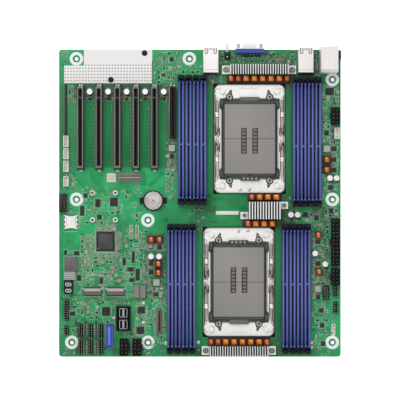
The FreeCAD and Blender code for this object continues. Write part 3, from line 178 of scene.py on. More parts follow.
def tower(outline, levels, axis="z", close=True):
    """Rings of one outline, each shrunk by its inset and carried to its height, with quads between and flat ends."""
    outline = np.asarray(outline, float)
    if axis == "y":
        outline = outline[::-1, ::-1]
    count, rings = len(outline), len(levels)
    flat = np.concatenate([shrunk(outline, inset) for inset, _ in levels])
    height = np.repeat([level for _, level in levels], count)
    points = np.column_stack([flat, height])
    if axis == "x":
        points = points[:, [2, 0, 1]]
    if axis == "y":
        points = points[:, [1, 2, 0]]
    low = np.arange(count)[None] + np.arange(rings - 1)[:, None] * count
    ahead = (np.arange(count)[None] + 1) % count + np.arange(rings - 1)[:, None] * count
    quads = np.stack([low, ahead, ahead + count, low + count], -1).reshape(-1, 4)
    if not close:
        return Form(points, quads, np.full(len(quads), 4))
    caps = np.concatenate([np.arange(count)[::-1], np.arange(count) + (rings - 1) * count])
    return Form(points, np.concatenate([quads.ravel(), caps]), np.append(np.full(len(quads), 4), [count, count]))


def bar(width, length, tall, edge=0.15, radius=0.0):
    """An upright block on z 0 with bevelled top edges and, with a radius, round upright edges."""
    return tower(rectangle(width, length, radius), [(0, 0), (0, tall - edge), (edge, tall)])


def annulus(inner, outer, thick, steps=40):
    """A flat ring on z 0: a band carried round, in, back and out again."""
    turn = np.arange(steps) * 2 * math.pi / steps
    profile = np.array([(inner, 0), (outer, 0), (outer, thick), (inner, thick)])
    radius = profile[:, 0][None] * np.ones((steps, 1))
    points = np.stack([radius * np.cos(turn)[:, None], radius * np.sin(turn)[:, None],
                       np.tile(profile[:, 1], (steps, 1))], -1)
    ring = np.arange(steps)[:, None] * 4
    ahead = (ring + 4) % (steps * 4)
    side = np.arange(4)[None]
    after = (side + 1) % 4
    quads = np.stack([ring + side, ahead + side, ahead + after, ring + after], -1)
    return Form(points, quads, np.full(steps * 4, 4))


def ribbon(points, width, thick):
    """A flat strip on z 0 along a path: each point plus and less half the width along the joint's normal."""
    path = np.asarray(points, float)
    run = np.diff(path, axis=0)
    run /= np.linalg.norm(run, axis=1, keepdims=True)
    normal = np.column_stack([-run[:, 1], run[:, 0]])
    first = np.vstack([normal[:1], normal])
    last = np.vstack([normal, normal[-1:]])
    side = (first + last) / (1 + np.sum(first * last, 1, keepdims=True))
    left, right = path + side * width / 2, path - side * width / 2
    outline = np.vstack([right, left[::-1]])
    count = len(path)
    points = np.vstack([np.column_stack([outline, np.zeros(2 * count)]),
                        np.column_stack([outline, np.full(2 * count, thick)])])
    step = np.arange(count - 1)
    top = 2 * count + np.stack([step, step + 1, 2 * count - 2 - step, 2 * count - 1 - step], -1)
    low = top[:, ::-1] - 2 * count
    rim = np.arange(2 * count)
    ahead = (rim + 1) % (2 * count)
    walls = np.stack([rim, ahead, ahead + 2 * count, rim + 2 * count], -1)
    quads = np.concatenate([top, low, walls])
    return Form(points, quads, np.full(len(quads), 4))


def piece(name, form, finish, body="board", node=None, bevel=0.0, smooth=0.0):
    """A shape as an object in metres, with its finish, its body and what it stands for."""
    mesh = bpy.data.meshes.new(name)
    mesh.vertices.add(len(form.points))
    mesh.vertices.foreach_set("co", (form.points * MM).astype(np.float32).ravel())
    mesh.loops.add(len(form.corners))
    mesh.loops.foreach_set("vertex_index", form.corners.astype(np.int32))
    mesh.polygons.add(len(form.sizes))
    starts = np.concatenate([[0], np.cumsum(form.sizes)[:-1]])
    mesh.polygons.foreach_set("loop_start", starts.astype(np.int32))
    mesh.update(calc_edges=True)
    mesh.validate()
    tint = mesh.color_attributes.new("tint", "FLOAT_COLOR", "POINT")
    tint.data.foreach_set("color", np.column_stack([form.tint, np.ones(len(form.tint))]).ravel())
    mesh.materials.append(finish)
    thing = bpy.data.objects.new(name, mesh)
    bpy.context.scene.collection.objects.link(thing)
    return dressed(thing, body, node, bevel, smooth)


def dressed(thing, body, node=None, bevel=0.0, smooth=0.0):
    """Common finishing: ride a body, stand for nodes, round the edges and shade smooth below an angle."""
    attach(thing, body)
    for one in [node] if isinstance(node, str) else node or []:
        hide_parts(one)
    if bevel:
        edge = thing.modifiers.new("edge", "BEVEL")
        edge.width = bevel * MM
        edge.segments = 2
        edge.limit_method = "ANGLE"
        edge.angle_limit = math.radians(40)
        edge.harden_normals = False
    if smooth:
        mesh = thing.data
        mesh.polygons.foreach_set("use_smooth", np.ones(len(mesh.polygons), bool))
        mesh.update()
        mesh.set_sharp_from_angle(angle=math.radians(smooth))
    return thing


def copied(node, bevel, finish, smooth=35):
    """A CAD node's merged copy with rounded edges, in the node's place."""
    source = frame["nodes"][node]
    thing = bpy.data.objects.new(node + "_rounded", source.data.copy())
    bpy.context.scene.collection.objects.link(thing)
    work = bmesh.new()
    work.from_mesh(thing.data)
    bmesh.ops.remove_doubles(work, verts=work.verts, dist=1e-6)
    bmesh.ops.dissolve_limit(work, angle_limit=math.radians(1), verts=work.verts, edges=work.edges)
    work.to_mesh(thing.data)
    work.free()
    thing.data.materials.clear()
    thing.data.materials.append(finish)
    return dressed(thing, source["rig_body"], node, bevel, smooth)


def mesh_arrays(node):
    """A CAD node's points in mm and its triangles."""
    mesh = frame["nodes"][node].data
    points = np.empty(len(mesh.vertices) * 3, np.float32)
    mesh.vertices.foreach_get("co", points)
    corners = np.empty(len(mesh.loops), np.int32)
    mesh.loops.foreach_get("vertex_index", corners)
    return points.reshape(-1, 3).astype(float) / MM, corners.reshape(-1, 3)


def solid_boxes(node):
    """Low and high corners in mm of each solid: points in one place share a label that spreads over triangles."""
    points, triangles = mesh_arrays(node)
    _, same = np.unique(np.round(points, 3), axis=0, return_inverse=True)
    corners = same.ravel()[triangles]
    label = np.arange(corners.max() + 1)
    settled = False
    while not settled:
        least = label.copy()
        np.minimum.at(least, corners.ravel(), np.repeat(label[corners].min(1), 3))
        least = least[least]
        settled = bool((least == label).all())
        label = least
    _, group = np.unique(label[same.ravel()], return_inverse=True)
    low = np.full((group.max() + 1, 3), np.inf)
    high = -low
    np.minimum.at(low, group.ravel(), points)
    np.maximum.at(high, group.ravel(), points)
    return low, high


def covered_cells():
    """Summed table of half-mm cells: each triangle of a part marks the box round it, and the printed rings too."""
    low, size = BOARD_LOW[:2], (BOARD_HIGH - BOARD_LOW)[:2]
    cells = np.ceil(size / CELL).astype(int) + 2
    edges = np.zeros(cells + 1)
    for name in frame["nodes"]:
        points, triangles = mesh_arrays(name)
        if name == "circuit_board" or points[:, 2].max() < BOARD_TOP + 0.2:
            continue
        flat = (points[triangles][..., :2] - low) / CELL
        start = np.clip(np.floor(flat.min(1)).astype(int), 0, cells - 1)
        end = np.clip(np.ceil(flat.max(1)).astype(int), 0, cells - 1)
        for i, j, sign in ((start, start, 1), (end, end, 1), (start, end, -1), (end, start, -1)):
            np.add.at(edges, (i[:, 0], j[:, 1]), sign)
    marked = edges.cumsum(0).cumsum(1)[:-1, :-1] > 0.5
    x = low[0] + (np.arange(cells[0]) + 0.5)[:, None] * CELL
    y = low[1] + (np.arange(cells[1]) + 0.5)[None] * CELL
    for column, row in HOLE_SPOTS:
        centre = spot(column, row)
        marked |= (x - centre[0]) ** 2 + (y - centre[1]) ** 2 < HOLE_CLEAR ** 2
    table = np.zeros(cells + 1)
    table[1:, 1:] = marked.cumsum(0).cumsum(1)
    return table


def open_places(table, places, width, length):
    """Whether each place has a free box of a width and length on the board, from four sums of the table."""
    half = np.column_stack([np.broadcast_to(width, len(places)), np.broadcast_to(length, len(places))]) / 2
    start = np.floor((places - half - BOARD_LOW[:2]) / CELL).astype(int)
    end = np.ceil((places + half - BOARD_LOW[:2]) / CELL).astype(int)
    inside = (start > 0).all(1) & (end < np.array(table.shape) - 3).all(1)
    start = np.clip(start, 0, np.array(table.shape) - 1)
    end = np.clip(end, 0, np.array(table.shape) - 1)
    total = (table[end[:, 0], end[:, 1]] - table[start[:, 0], end[:, 1]]
             - table[end[:, 0], start[:, 1]] + table[start[:, 0], start[:, 1]])
    return inside & (total < 0.5)


def frame_mark(width, length, line=0.18):
    """A printed outline: four strips round a rectangle."""
    x, y = width / 2, length / 2
    return joined([ribbon([(-x, side * y), (x, side * y)], line, 0.03) for side in (-1, 1)]
                  + [ribbon([(side * x, -y), (side * x, y)], line, 0.03) for side in (-1, 1)])


def bundle(path, count, pitch, width):
    """Strips side by side: the path plus a step times the joint's normal for each strip."""
    path = np.array([spot(*point) for point in path])
    run = np.diff(path, axis=0)
    run /= np.linalg.norm(run, axis=1, keepdims=True)
    normal = np.column_stack([-run[:, 1], run[:, 0]])
    first = np.vstack([normal[:1], normal])
    last = np.vstack([normal, normal[-1:]])
    side = (first + last) / (1 + np.sum(first * last, 1, keepdims=True))
    steps = (np.arange(count) - (count - 1) / 2) * pitch
    return joined([ribbon(path + side * step, width, 0.035) for step in steps])


def blocks(rows, edge=0.2):
    """Bevelled blocks: column, row, width and length in pitches, foot over the board and height in mm, and colour."""
    return joined([bar(width * PITCH, length * PITCH, tall, min(edge, tall / 3))
                   .moved(*spot(column, row), BOARD_TOP + foot).painted(tone(*colour))
                   for column, row, width, length, foot, tall, colour in rows])


def row_of(first, step, count):
    """Places in a row: the first place plus a step times 0, 1, 2 and so on."""
    return np.array(first, float) + np.arange(count)[:, None] * np.array(step, float)


def arc(x, y, radius, start, end, steps=9):
    """Points of an arc: the centre plus radius times (cos, sin) from a start to an end angle in degrees."""
    turn = np.radians(np.linspace(start, end, steps))
    return np.column_stack([x + radius * np.cos(turn), y + radius * np.sin(turn)])


def lift(node):
    """Height of a node's top over the board, in mm."""
    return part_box(node)[1][2] / MM - BOARD_TOP


# ---------------------------------------------------------------- finishes

class Wire:
    """A shader socket whose operators add Math nodes."""

    def __init__(self, finish, socket):
        self.finish = finish
        self.socket = socket

    def maths(self, operation, *values):
        return self.finish.node("ShaderNodeMath", {"operation": operation}, dict(enumerate(values)))

    def __add__(self, other):
        return self.maths("ADD", self, other)

    def __sub__(self, other):
        return self.maths("SUBTRACT", self, other)

    def __rsub__(self, other):
        return self.maths("SUBTRACT", other, self)

    def __mul__(self, other):
        return self.maths("MULTIPLY", self, other)

    def __truediv__(self, other):
        return self.maths("DIVIDE", self, other)

    def __mod__(self, other):
        return self.maths("FLOORED_MODULO", self, other)

    def __lt__(self, other):
        return self.maths("LESS_THAN", self, other)

    def __gt__(self, other):
        return self.maths("GREATER_THAN", self, other)

    def __abs__(self):
        return self.maths("ABSOLUTE", self)

    __radd__ = __add__
    __rmul__ = __mul__


class Finish:
    """One material, with one method that adds any node."""

    def __init__(self, name):
        self.material = bpy.data.materials.new(name)
        self.material.use_nodes = True
        self.tree = self.material.node_tree
        self.shader = next(node for node in self.tree.nodes if node.type == "BSDF_PRINCIPLED")
        place = self.node("ShaderNodeTexCoord", output="Object")
        self.place = self.node("ShaderNodeVectorMath", {"operation": "SCALE"}, {0: place, "Scale": 1 / MM})
        self.x, self.y, self.z = (self.node("ShaderNodeSeparateXYZ", sockets={0: self.place}, output=axis)
                                  for axis in "XYZ")

    def node(self, kind, settings=None, sockets=None, output=0):
        """Add a node, set its settings, then give its sockets their values or links."""
        made = self.tree.nodes.new(kind)
        for key, value in (settings or {}).items():
            if key == "stops":
                while len(made.color_ramp.elements) < len(value):
                    made.color_ramp.elements.new(1.0)
                for element, (where, colour) in zip(made.color_ramp.elements, value):
                    element.position = where
                    element.color = (*colour, 1)
            else:
                setattr(made, key, value)
        for key, value in (sockets or {}).items():
            self.feed(made.inputs[key], value)
        return Wire(self, made.outputs[output])

    def feed(self, socket, value):
        """Link a wire to a socket, or set the socket's value."""
        if isinstance(value, Wire):
            self.tree.links.new(value.socket, socket)
        elif socket.type == "RGBA":
            socket.default_value = (*value[:3], 1)
        else:
            socket.default_value = value

    def noise(self, scale, detail=3.0, rough=0.55, vector=None):
        """Noise from 0 to 1 with a scale per mm."""
        return self.node("ShaderNodeTexNoise", {"noise_dimensions": "3D"}, {
            "Vector": vector or self.place, "Scale": scale, "Detail": detail, "Roughness": rough})

    def stretched(self, x, y, z):
        """The place with each axis scaled, for grain along one direction."""
        return self.node("ShaderNodeVectorMath", {"operation": "MULTIPLY"}, {0: self.place, 1: (x, y, z)})

    def mix(self, share, first, second):
        """A colour between two, by share."""
        return self.node("ShaderNodeMix", {"data_type": "RGBA"}, {0: share, 6: first, 7: second}, output=2)

    def times(self, first, second, share=1.0):
        """One colour multiplied by another."""
        return self.node("ShaderNodeMix", {"data_type": "RGBA", "blend_type": "MULTIPLY"},
                         {0: share, 6: first, 7: second}, output=2)

    def span(self, value, low, high, start=0.0, end=1.0):
        """A value from low to high, eased to start and end."""
        return self.node("ShaderNodeMapRange", {"interpolation_type": "SMOOTHSTEP"}, {
            "Value": value, "From Min": low, "From Max": high, "To Min": start, "To Max": end})

    def patch(self, box, soft):
        """One inside a box of west, rear, east and front limits in mm, and nought outside it."""
        west, rear, east, front = box
        return (self.span(self.x, west - soft, west + soft) * self.span(self.x, east - soft, east + soft, 1, 0)
                * self.span(self.y, front - soft, front + soft) * self.span(self.y, rear - soft, rear + soft, 1, 0))

    def set(self, **values):
        """Give the shader's own sockets their values or links, named with underscores."""
        for key, value in values.items():
            self.feed(self.shader.inputs[key.replace("_", " ")], value)
        return self

    def bump(self, height, strength=0.3, distance=0.1):
        """Feed a height in mm to the shader's normal."""
        normal = self.node("ShaderNodeBump", {}, {"Height": height, "Strength": strength, "Distance": distance * MM})
        return self.set(Normal=normal)


def moulded(name, colour, rough=0.5, grain=2.2, depth=0.25, spread=0.12, coat=0.0, shine=0.5):
    """Moulded plastic: two noises shade the colour and roughness, and a fine one pits the surface."""
    finish = Finish(name)
    wide = finish.noise(0.05, 4)
    fine = finish.noise(grain, 3)
    dark = tuple(part * (1 - spread) for part in colour)
    light = tuple(min(1.0, part * (1 + spread) + 0.004) for part in colour)
    shade = finish.mix(finish.span(wide * 0.6 + fine * 0.4, 0.3, 0.7), dark, light)
    finish.set(Base_Color=shade, Roughness=rough - 0.08 + fine * 0.16, Coat_Weight=coat)
    finish.shader.inputs["Specular IOR Level"].default_value = shine
    return finish.bump(fine, depth, 0.05).material


def metal(name, colour, rough=0.3, along="y", grain=1.0, spread=0.1, metallic=1.0):
    """Rolled metal: noise drawn out along one axis gives streaks in colour, roughness and height."""
    finish = Finish(name)
    scale = {"x": (0.04, 1, 1), "y": (1, 0.04, 1), "z": (1, 1, 0.04)}[along]
    streak = finish.noise(grain, 4, 0.6, finish.stretched(*scale))
    cloud = finish.noise(0.08, 3)
    dark = tuple(part * (1 - spread) for part in colour)
    light = tuple(min(1.0, part * (1 + spread)) for part in colour)
    shade = finish.mix(finish.span(streak * 0.6 + cloud * 0.4, 0.3, 0.7), dark, light)
    finish.set(Base_Color=shade, Metallic=metallic, Roughness=rough - 0.08 + streak * 0.18)
    return finish.bump(streak, 0.15, 0.04).material


def finned_metal(light, dark):
    """Bright aluminium with drawn streaks and painted shade down between the fins."""
    finish = Finish("finned_aluminium")
    streak = finish.noise(1.2, 4, 0.6, finish.stretched(1, 1, 0.04))
    shade = finish.mix(streak * 0.3, light, tuple(part * 0.82 for part in light))
    # Painted shade: the dark colour over the finned zones, below the fin tops.
    deep = zoned(finish, FIN_SHADE_ZONES) * finish.span(finish.z, BOARD_TOP + 15.0, BOARD_TOP + 19.0, 1, 0)
    shade = finish.mix(deep, shade, dark)
    finish.set(Base_Color=shade, Metallic=0.35, Roughness=0.32 + streak * 0.14)
    return finish.bump(streak, 0.15, 0.04).material


def tinted(name, rough=0.5, metallic=0.0, spread=0.2, grain=1.5):
    """A finish whose colour is the piece's own point tint, shaded by noise."""
    finish = Finish(name)
    tint = finish.node("ShaderNodeAttribute", {"attribute_name": "tint"}, output="Color")
    fine = finish.noise(grain, 3)
    shade = finish.mix(fine * spread, tint, (0.02, 0.02, 0.02))
    finish.set(Base_Color=shade, Metallic=metallic, Roughness=rough - 0.1 + fine * 0.2)
    finish.shader.inputs["Specular IOR Level"].default_value = 0.3
    return finish.bump(fine, 0.2, 0.04).material


def zoned(finish, zones):
    """Sum of the shares of soft-edged boxes on the board."""
    total = 0
    for left, rear, right, front, share in zones:
        low, high = spot(left, front), spot(right, rear)
        total = finish.patch((low[0], high[1], high[0], low[1]), 2.0) * share + total
    return finish.span(total, 0, 1)


def solder_mask(base, shaded, bright, deep):
    """Board lacquer: a green with painted shade round the slots and sockets and deeper painted shade in the crowded
    rows, with faint copper streaks under it.
    """
    finish = Finish("solder_mask")
    cloud = finish.noise(0.035, 5, 0.6)
    fine = finish.noise(1.3, 3)
    shade = finish.mix(finish.span(cloud, 0.4, 0.62), base, bright)
    # Painted shade: the shaded green over the zones round the tall slots and sockets, then a deeper shade green over
    # the crowded rows.
    shade = finish.mix(zoned(finish, SHADE_ZONES), shade, shaded)
    shade = finish.mix(zoned(finish, DEEP_SHADE_ZONES), shade, deep)
    weave = finish.node("ShaderNodeTexWave", {"bands_direction": "DIAGONAL"}, {
        "Vector": finish.place, "Scale": 0.35, "Distortion": 6.0, "Detail": 3.0, "Detail Scale": 0.6}, output="Fac")
    shade = finish.mix(finish.span(weave, 0.55, 0.9) * 0.22, shade, bright)
    shade = finish.mix(finish.span(fine, 0.55, 0.8) * 0.18, shade, shaded)
    finish.set(Base_Color=shade, Roughness=0.42 + fine * 0.12, Coat_Weight=0.12)
    finish.shader.inputs["Coat Roughness"].default_value = 0.25
    finish.shader.inputs["Specular IOR Level"].default_value = 0.35
    return finish.bump(cloud * 0.4 + fine * 0.6, 0.12, 0.05).material


def dotted_film(colour, mark):
    """White sheet with rows of small grey dots over its front part."""
    finish = Finish("dotted_film")
    low, high = (np.array(corner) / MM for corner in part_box("slot_insulator"))
    across = abs((finish.x - low[0]) / 3.25 % 1 - 0.5)
    along = abs((finish.y - low[1] - 1.2) / 3.41 % 1 - 0.5)
    dot = finish.span(across * across * 0.6 + along * along, 0.03, 0.07, 1, 0)
    dot = dot * (finish.y < high[1] - 14.5) * (finish.y > low[1] + 1.5)
    fine = finish.noise(0.6, 4)
    shade = finish.mix(fine * 0.35, colour, tuple(part * 0.82 for part in colour))
    shade = finish.mix(dot * 0.75, shade, mark)
    finish.set(Base_Color=shade, Roughness=0.42 + fine * 0.15)
    return finish.bump(fine, 0.2, 0.05).material


def memory_plastic(light, dark):
    """Blue socket plastic with painted shade: the rail colour on the top rails and the shade colour down in the groove
    and on the sides, times the piece's own tint, with faint lines across.
    """
    finish = Finish("memory_plastic")
    tint = finish.node("ShaderNodeAttribute", {"attribute_name": "tint"}, output="Color")
    fine = finish.noise(1.8, 3)
    lines = abs(finish.y / 0.85 % 1 - 0.5)
    # Painted shade: darker below the rail tops and lighter at the top, where the light falls.
    shade = finish.mix(finish.span(finish.z, BOARD_TOP + 6.6, BOARD_TOP + 8.2), dark, light)
    shade = finish.mix(finish.span(lines, 0.3, 0.5) * 0.12, shade, dark)
    shade = finish.mix(finish.noise(0.03, 3) * 0.25, shade, tuple(part * 0.8 for part in light))
    shade = finish.times(shade, tint)
    finish.set(Base_Color=shade, Roughness=0.42 + fine * 0.14)
    return finish.bump(fine + lines * 0.3, 0.12, 0.04).material


def floor_finish(colour, glow):
    """Pale matt floor that glows a little, so that it stays even."""
    finish = Finish("studio_floor")
    fine = finish.noise(0.01, 2)
    finish.set(Base_Color=finish.mix(fine * 0.1, colour, tuple(part * 0.95 for part in colour)), Roughness=0.9)
    finish.set(Emission_Color=colour, Emission_Strength=glow)
    return finish.material


# Zones of painted shade round the slots and sockets: west, rear, east and front board places, and share.
SHADE_ZONES = [
    (84, 84, 175, 168, 0.75), (205, 60, 216, 225, 0.8), (283, 60, 295, 225, 0.85), (205, 50, 345, 86, 0.65),
    (190, 193, 295, 230, 0.6), (112, 222, 128, 357, 0.35), (268, 222, 284, 357, 0.8), (196, 205, 204, 357, 0.6),
    (60, 348, 340, 357, 0.35), (140, 250, 168, 300, 0.5), (310, 210, 330, 345, 0.3), (60, 85, 76, 190, 0.4),
]

# Zones of deeper painted shade in the crowded rows, listed the same way.
DEEP_SHADE_ZONES = [
    (74, 84.5, 176, 99.5, 0.75), (226, 80, 292, 84.5, 0.7), (203, 62, 217, 84, 0.6), (286, 74, 300, 90, 0.55),
    (313, 48, 322, 82, 0.6), (170, 136, 178, 168, 0.5), (330, 84, 341, 200, 0.45), (322, 128, 334, 200, 0.35),
    (310, 206, 341, 222, 0.5), (144, 232, 167, 300, 0.45), (311, 222, 330, 300, 0.45), (246, 219, 282, 228, 0.5),
    (212, 336, 268, 345, 0.6), (59, 296, 78, 356, 0.3), (96, 224, 122, 260, 0.4), (76, 322, 106, 357, 0.4),
    (59, 84, 63.5, 190, 0.5),
]

# Finned zones of the heat sinks that get painted shade between the fins.
FIN_SHADE_ZONES = [(229.6, 64.5, 288.6, 76, 1), (209.4, 345, 268.4, 356.5, 1), (248.0, 200, 280.9, 221, 1)]

CAD_FINISHES = {}
SHARED = {}


def cad_finishes(look):
    """A finish for each material slot of the record."""
    return {
        "board": solder_mask(look.board, look.board_shaded, look.board_bright, look.board_deep_shade),
        "white_film": dotted_film(tone(240, 237, 234), tone(112, 112, 108)),
        "black_plastic": moulded("black_plastic", tone(17, 15, 17), 0.55, 2.4, 0.3, 0.3, 0.0, 0.22),
        "steel": metal("plated_steel", tone(176, 172, 164), 0.36, "x", 1.2, 0.16, 0.7),
        "shell_steel": metal("slot_shell_steel", tone(112, 108, 104), 0.42, "y", 1.5, 0.14, 0.6),
        "dimm_plastic": memory_plastic(look.memory, look.memory_groove_shade),
        "bolster_steel": metal("nickel_plate", tone(247, 243, 239), 0.42, "y", 0.8, 0.06, 0.12),
        "cover_plastic": moulded("cover_plastic", tone(148, 144, 140), 0.5, 1.6, 0.25, 0.07),
        "backplate_steel": metal("backplate_steel", tone(150, 152, 152), 0.38, "y", 0.9, 0.12),
        "aluminium": finned_metal(tone(250, 250, 246), tone(92, 98, 92)),
        "pad": moulded("thermal_pad", tone(120, 122, 130), 0.8, 1.0, 0.4, 0.12),
        "ferrite": moulded("choke_ferrite", tone(86, 44, 34), 0.6, 3.0, 0.4, 0.25),
        "copper": metal("lacquered_copper", tone(238, 138, 58), 0.38, "x", 1.2, 0.14, 0.45),
        "grey_ferrite": moulded("grey_ferrite", tone(172, 168, 160), 0.55, 2.6, 0.35, 0.12),
        "can": metal("can_aluminium", tone(240, 240, 240), 0.42, "x", 2.0, 0.05, 0.3),
        "blue_plastic": moulded("blue_plastic", tone(40, 62, 170), 0.4, 2.2, 0.2, 0.15),
        "clear_plastic": moulded("milky_plastic", tone(214, 218, 214), 0.3, 1.6, 0.15, 0.06, 0.4),
        "cream_plastic": moulded("cream_plastic", tone(240, 237, 226), 0.48, 2.0, 0.25, 0.04),
        "gold": metal("gold_plate", tone(128, 120, 104), 0.36, "z", 2.0, 0.12, 0.6),
        "grey_plastic": moulded("grey_plastic", tone(128, 123, 120), 0.5, 1.8, 0.25, 0.1),
        "mould": moulded("chip_resin", tone(40, 37, 39), 0.55, 3.2, 0.35, 0.25, 0.0, 0.3),
        "cell_steel": metal("cell_steel", tone(206, 200, 194), 0.3, "x", 1.6, 0.3, 0.7),
        "port_steel": metal("tinned_steel", tone(238, 233, 229), 0.36, "y", 0.9, 0.07, 0.3),
    }


# ---------------------------------------------------------------- settings and operators

def colour_of(name, text, value):
    """A colour setting."""
    return bpy.props.FloatVectorProperty(name=name, description=text, default=value, subtype="COLOR", size=3,
                                         min=0.0, max=1.0)


def length_of(name, text, value, least=0.0):
    """A length setting in mm."""
    return bpy.props.FloatProperty(name=name, description=text, default=value, min=least)


class BoardLook(bpy.types.PropertyGroup):
    """Colours of the board and its sockets."""
    board: colour_of("Lacquer", "Green of the open board", tone(20, 146, 82))
    # The dull lacquer colour is painted shade between the slots and sockets.
    board_shaded: colour_of("Dull lacquer", "Green between slots and sockets", tone(36, 96, 56))
    # The dark lacquer colour is deeper painted shade in the crowded rows.
    board_deep_shade: colour_of("Dark lacquer", "Green in the crowded rows", tone(44, 62, 48))
    board_bright: colour_of("Bright lacquer", "Green over copper areas", tone(28, 172, 98))
    memory: colour_of("Memory socket", "Blue of the socket rails", tone(98, 108, 180))
    # The groove colour is painted shade deep in the sockets.
    memory_groove_shade: colour_of("Memory groove", "Blue deep in the sockets", tone(22, 25, 104))
    ink: colour_of("Ink", "Printed marks", tone(246, 255, 250))


class PrintLook(bpy.types.PropertyGroup):
    """Sizes of the printed marks."""
    ring_outer: length_of("Ring radius", "Outer radius of the white rings in mm", 7.6)
    ring_inner: length_of("Ring bore", "Inner radius of the white rings in mm", 4.0)
    ink_thick: length_of("Ink thickness", "Height of the ink in mm", 0.03)
    trace_width: length_of("Trace width", "Width of a copper trace in mm", 0.24)


class MemoryLook(bpy.types.PropertyGroup):
    """Sizes of the memory sockets."""
    rail_height: length_of("Rail height", "Height of the socket rails in mm", 8.4)
    lead: length_of("Lead-in", "Width of the groove at the top in mm", 2.3)
    groove: length_of("Groove", "Width of the groove inside in mm", 1.5)
    bay: length_of("Latch bay", "Length of the bay that holds a latch in mm", 6.5)
    contact_pitch: length_of("Contact pitch", "Step from contact to contact in mm", 0.85, 0.2)


class StageLook(bpy.types.PropertyGroup):
    """Camera and light."""
    distance: length_of("Camera distance", "Height of the camera over the board in mm", 2000.0)
    lens: bpy.props.FloatProperty(name="Lens", description="Focal length", default=163.5, unit="CAMERA")
    glow: bpy.props.FloatProperty(name="Floor glow", description="How bright the floor glows", default=0.8)
    key: bpy.props.FloatProperty(name="Key light", description="Power of the large light", default=15.4,
                                 unit="POWER")


class MOTHERBOARD_OT_finishes(bpy.types.Operator):
    """Give every CAD node its finish"""
    bl_idname = "motherboard.finishes"
    bl_label = "Finishes"

    def execute(self, context):
        CAD_FINISHES.update(cad_finishes(context.scene.board_look))
        SHARED["resin"] = tinted("tinted_resin", 0.5, 0.0, 0.2, 1.8)
        SHARED["tin"] = tinted("tinted_tin", 0.36, 0.45, 0.2, 1.2)
        SHARED["ink"] = tinted("board_ink", 0.6, 0.0, 0.08, 1.0)
        for node in frame["nodes"].values():
            for held in node.material_slots:
                held.material = CAD_FINISHES[held.material.name.split(".")[0]]
        return {"FINISHED"}


class MOTHERBOARD_OT_print(bpy.types.Operator):
    """Printed rings and marks on the board"""
    bl_idname = "motherboard.print"
    bl_label = "Printed marks"

    def execute(self, context):
        look, sizes = context.scene.board_look, context.scene.print_look
        ring = annulus(sizes.ring_inner, sizes.ring_outer, sizes.ink_thick)
        collar = annulus(2.35, sizes.ring_inner - 0.15, sizes.ink_thick * 0.7)
        holes = np.array([spot(*place) for place in HOLE_SPOTS])
        marks = [ring.at(holes).painted(look.ink), collar.at(holes).painted(tone(84, 122, 104))]
        piece("printed_rings", joined(marks).moved(z=BOARD_TOP), SHARED["ink"])
        return {"FINISHED"}


ROUNDED = {
    "bolster_plate_1": 0.5, "bolster_plate_2": 0.5, "cpu_socket_1": 0.3, "cpu_socket_2": 0.3,
    "socket_cover_1": 0.35, "socket_cover_2": 0.35, "bolster_springs": 0.2, "cpu_backplates": 0.5,
    "slot_housings": 0.15, "slot_shells": 0.2, "rear_heat_sink": 0.15, "middle_heat_sink": 0.2,
    "front_heat_sink": 0.15, "grey_inductors": 0.5,
    "capacitor_cans": 0.35, "capacitor_bases": 0.2, "chips": 0.12, "lan_ports": 0.45, "port_stack": 0.6,
    "power_headers": 0.3, "fan_headers": 0.2, "pin_header_bases": 0.2, "usb_header": 0.3, "cable_port": 0.3,
    "slim_connectors": 0.3, "m2_sockets": 0.25, "battery_holder": 0.4, "coin_cell": 0.35,
    "digit_display": 0.35, "grey_modules": 0.35, "card_socket": 0.12, "button_body": 0.3, "vga_body": 0.35,
    "button_plunger": 0.2, "insulator_rivets": 0.3, "bolster_fasteners": 0.2, "vga_shell": 0.15,
}


class MOTHERBOARD_OT_rounded(bpy.types.Operator):
    """Rounded edges on the moulded and pressed parts"""
    bl_idname = "motherboard.rounded"
    bl_label = "Rounded parts"

    def execute(self, context):
        own = {"cpu_socket": moulded("socket_resin", tone(54, 68, 60), 0.5, 2.0, 0.25, 0.15),
               "socket_cover": moulded("cover_rim", tone(64, 72, 67), 0.5, 1.8, 0.25, 0.12),
               "bolster_fasteners": CAD_FINISHES["bolster_steel"], "button_plunger": CAD_FINISHES["clear_plastic"]}
        for name in frame["nodes"]:
            bevel = ROUNDED.get(name, 0.3 if name.startswith("dimm_latches") else 0)
            if bevel:
                copied(name, bevel, own.get(name.rstrip("_12"), frame["nodes"][name].material_slots[0].material))
        return {"FINISHED"}


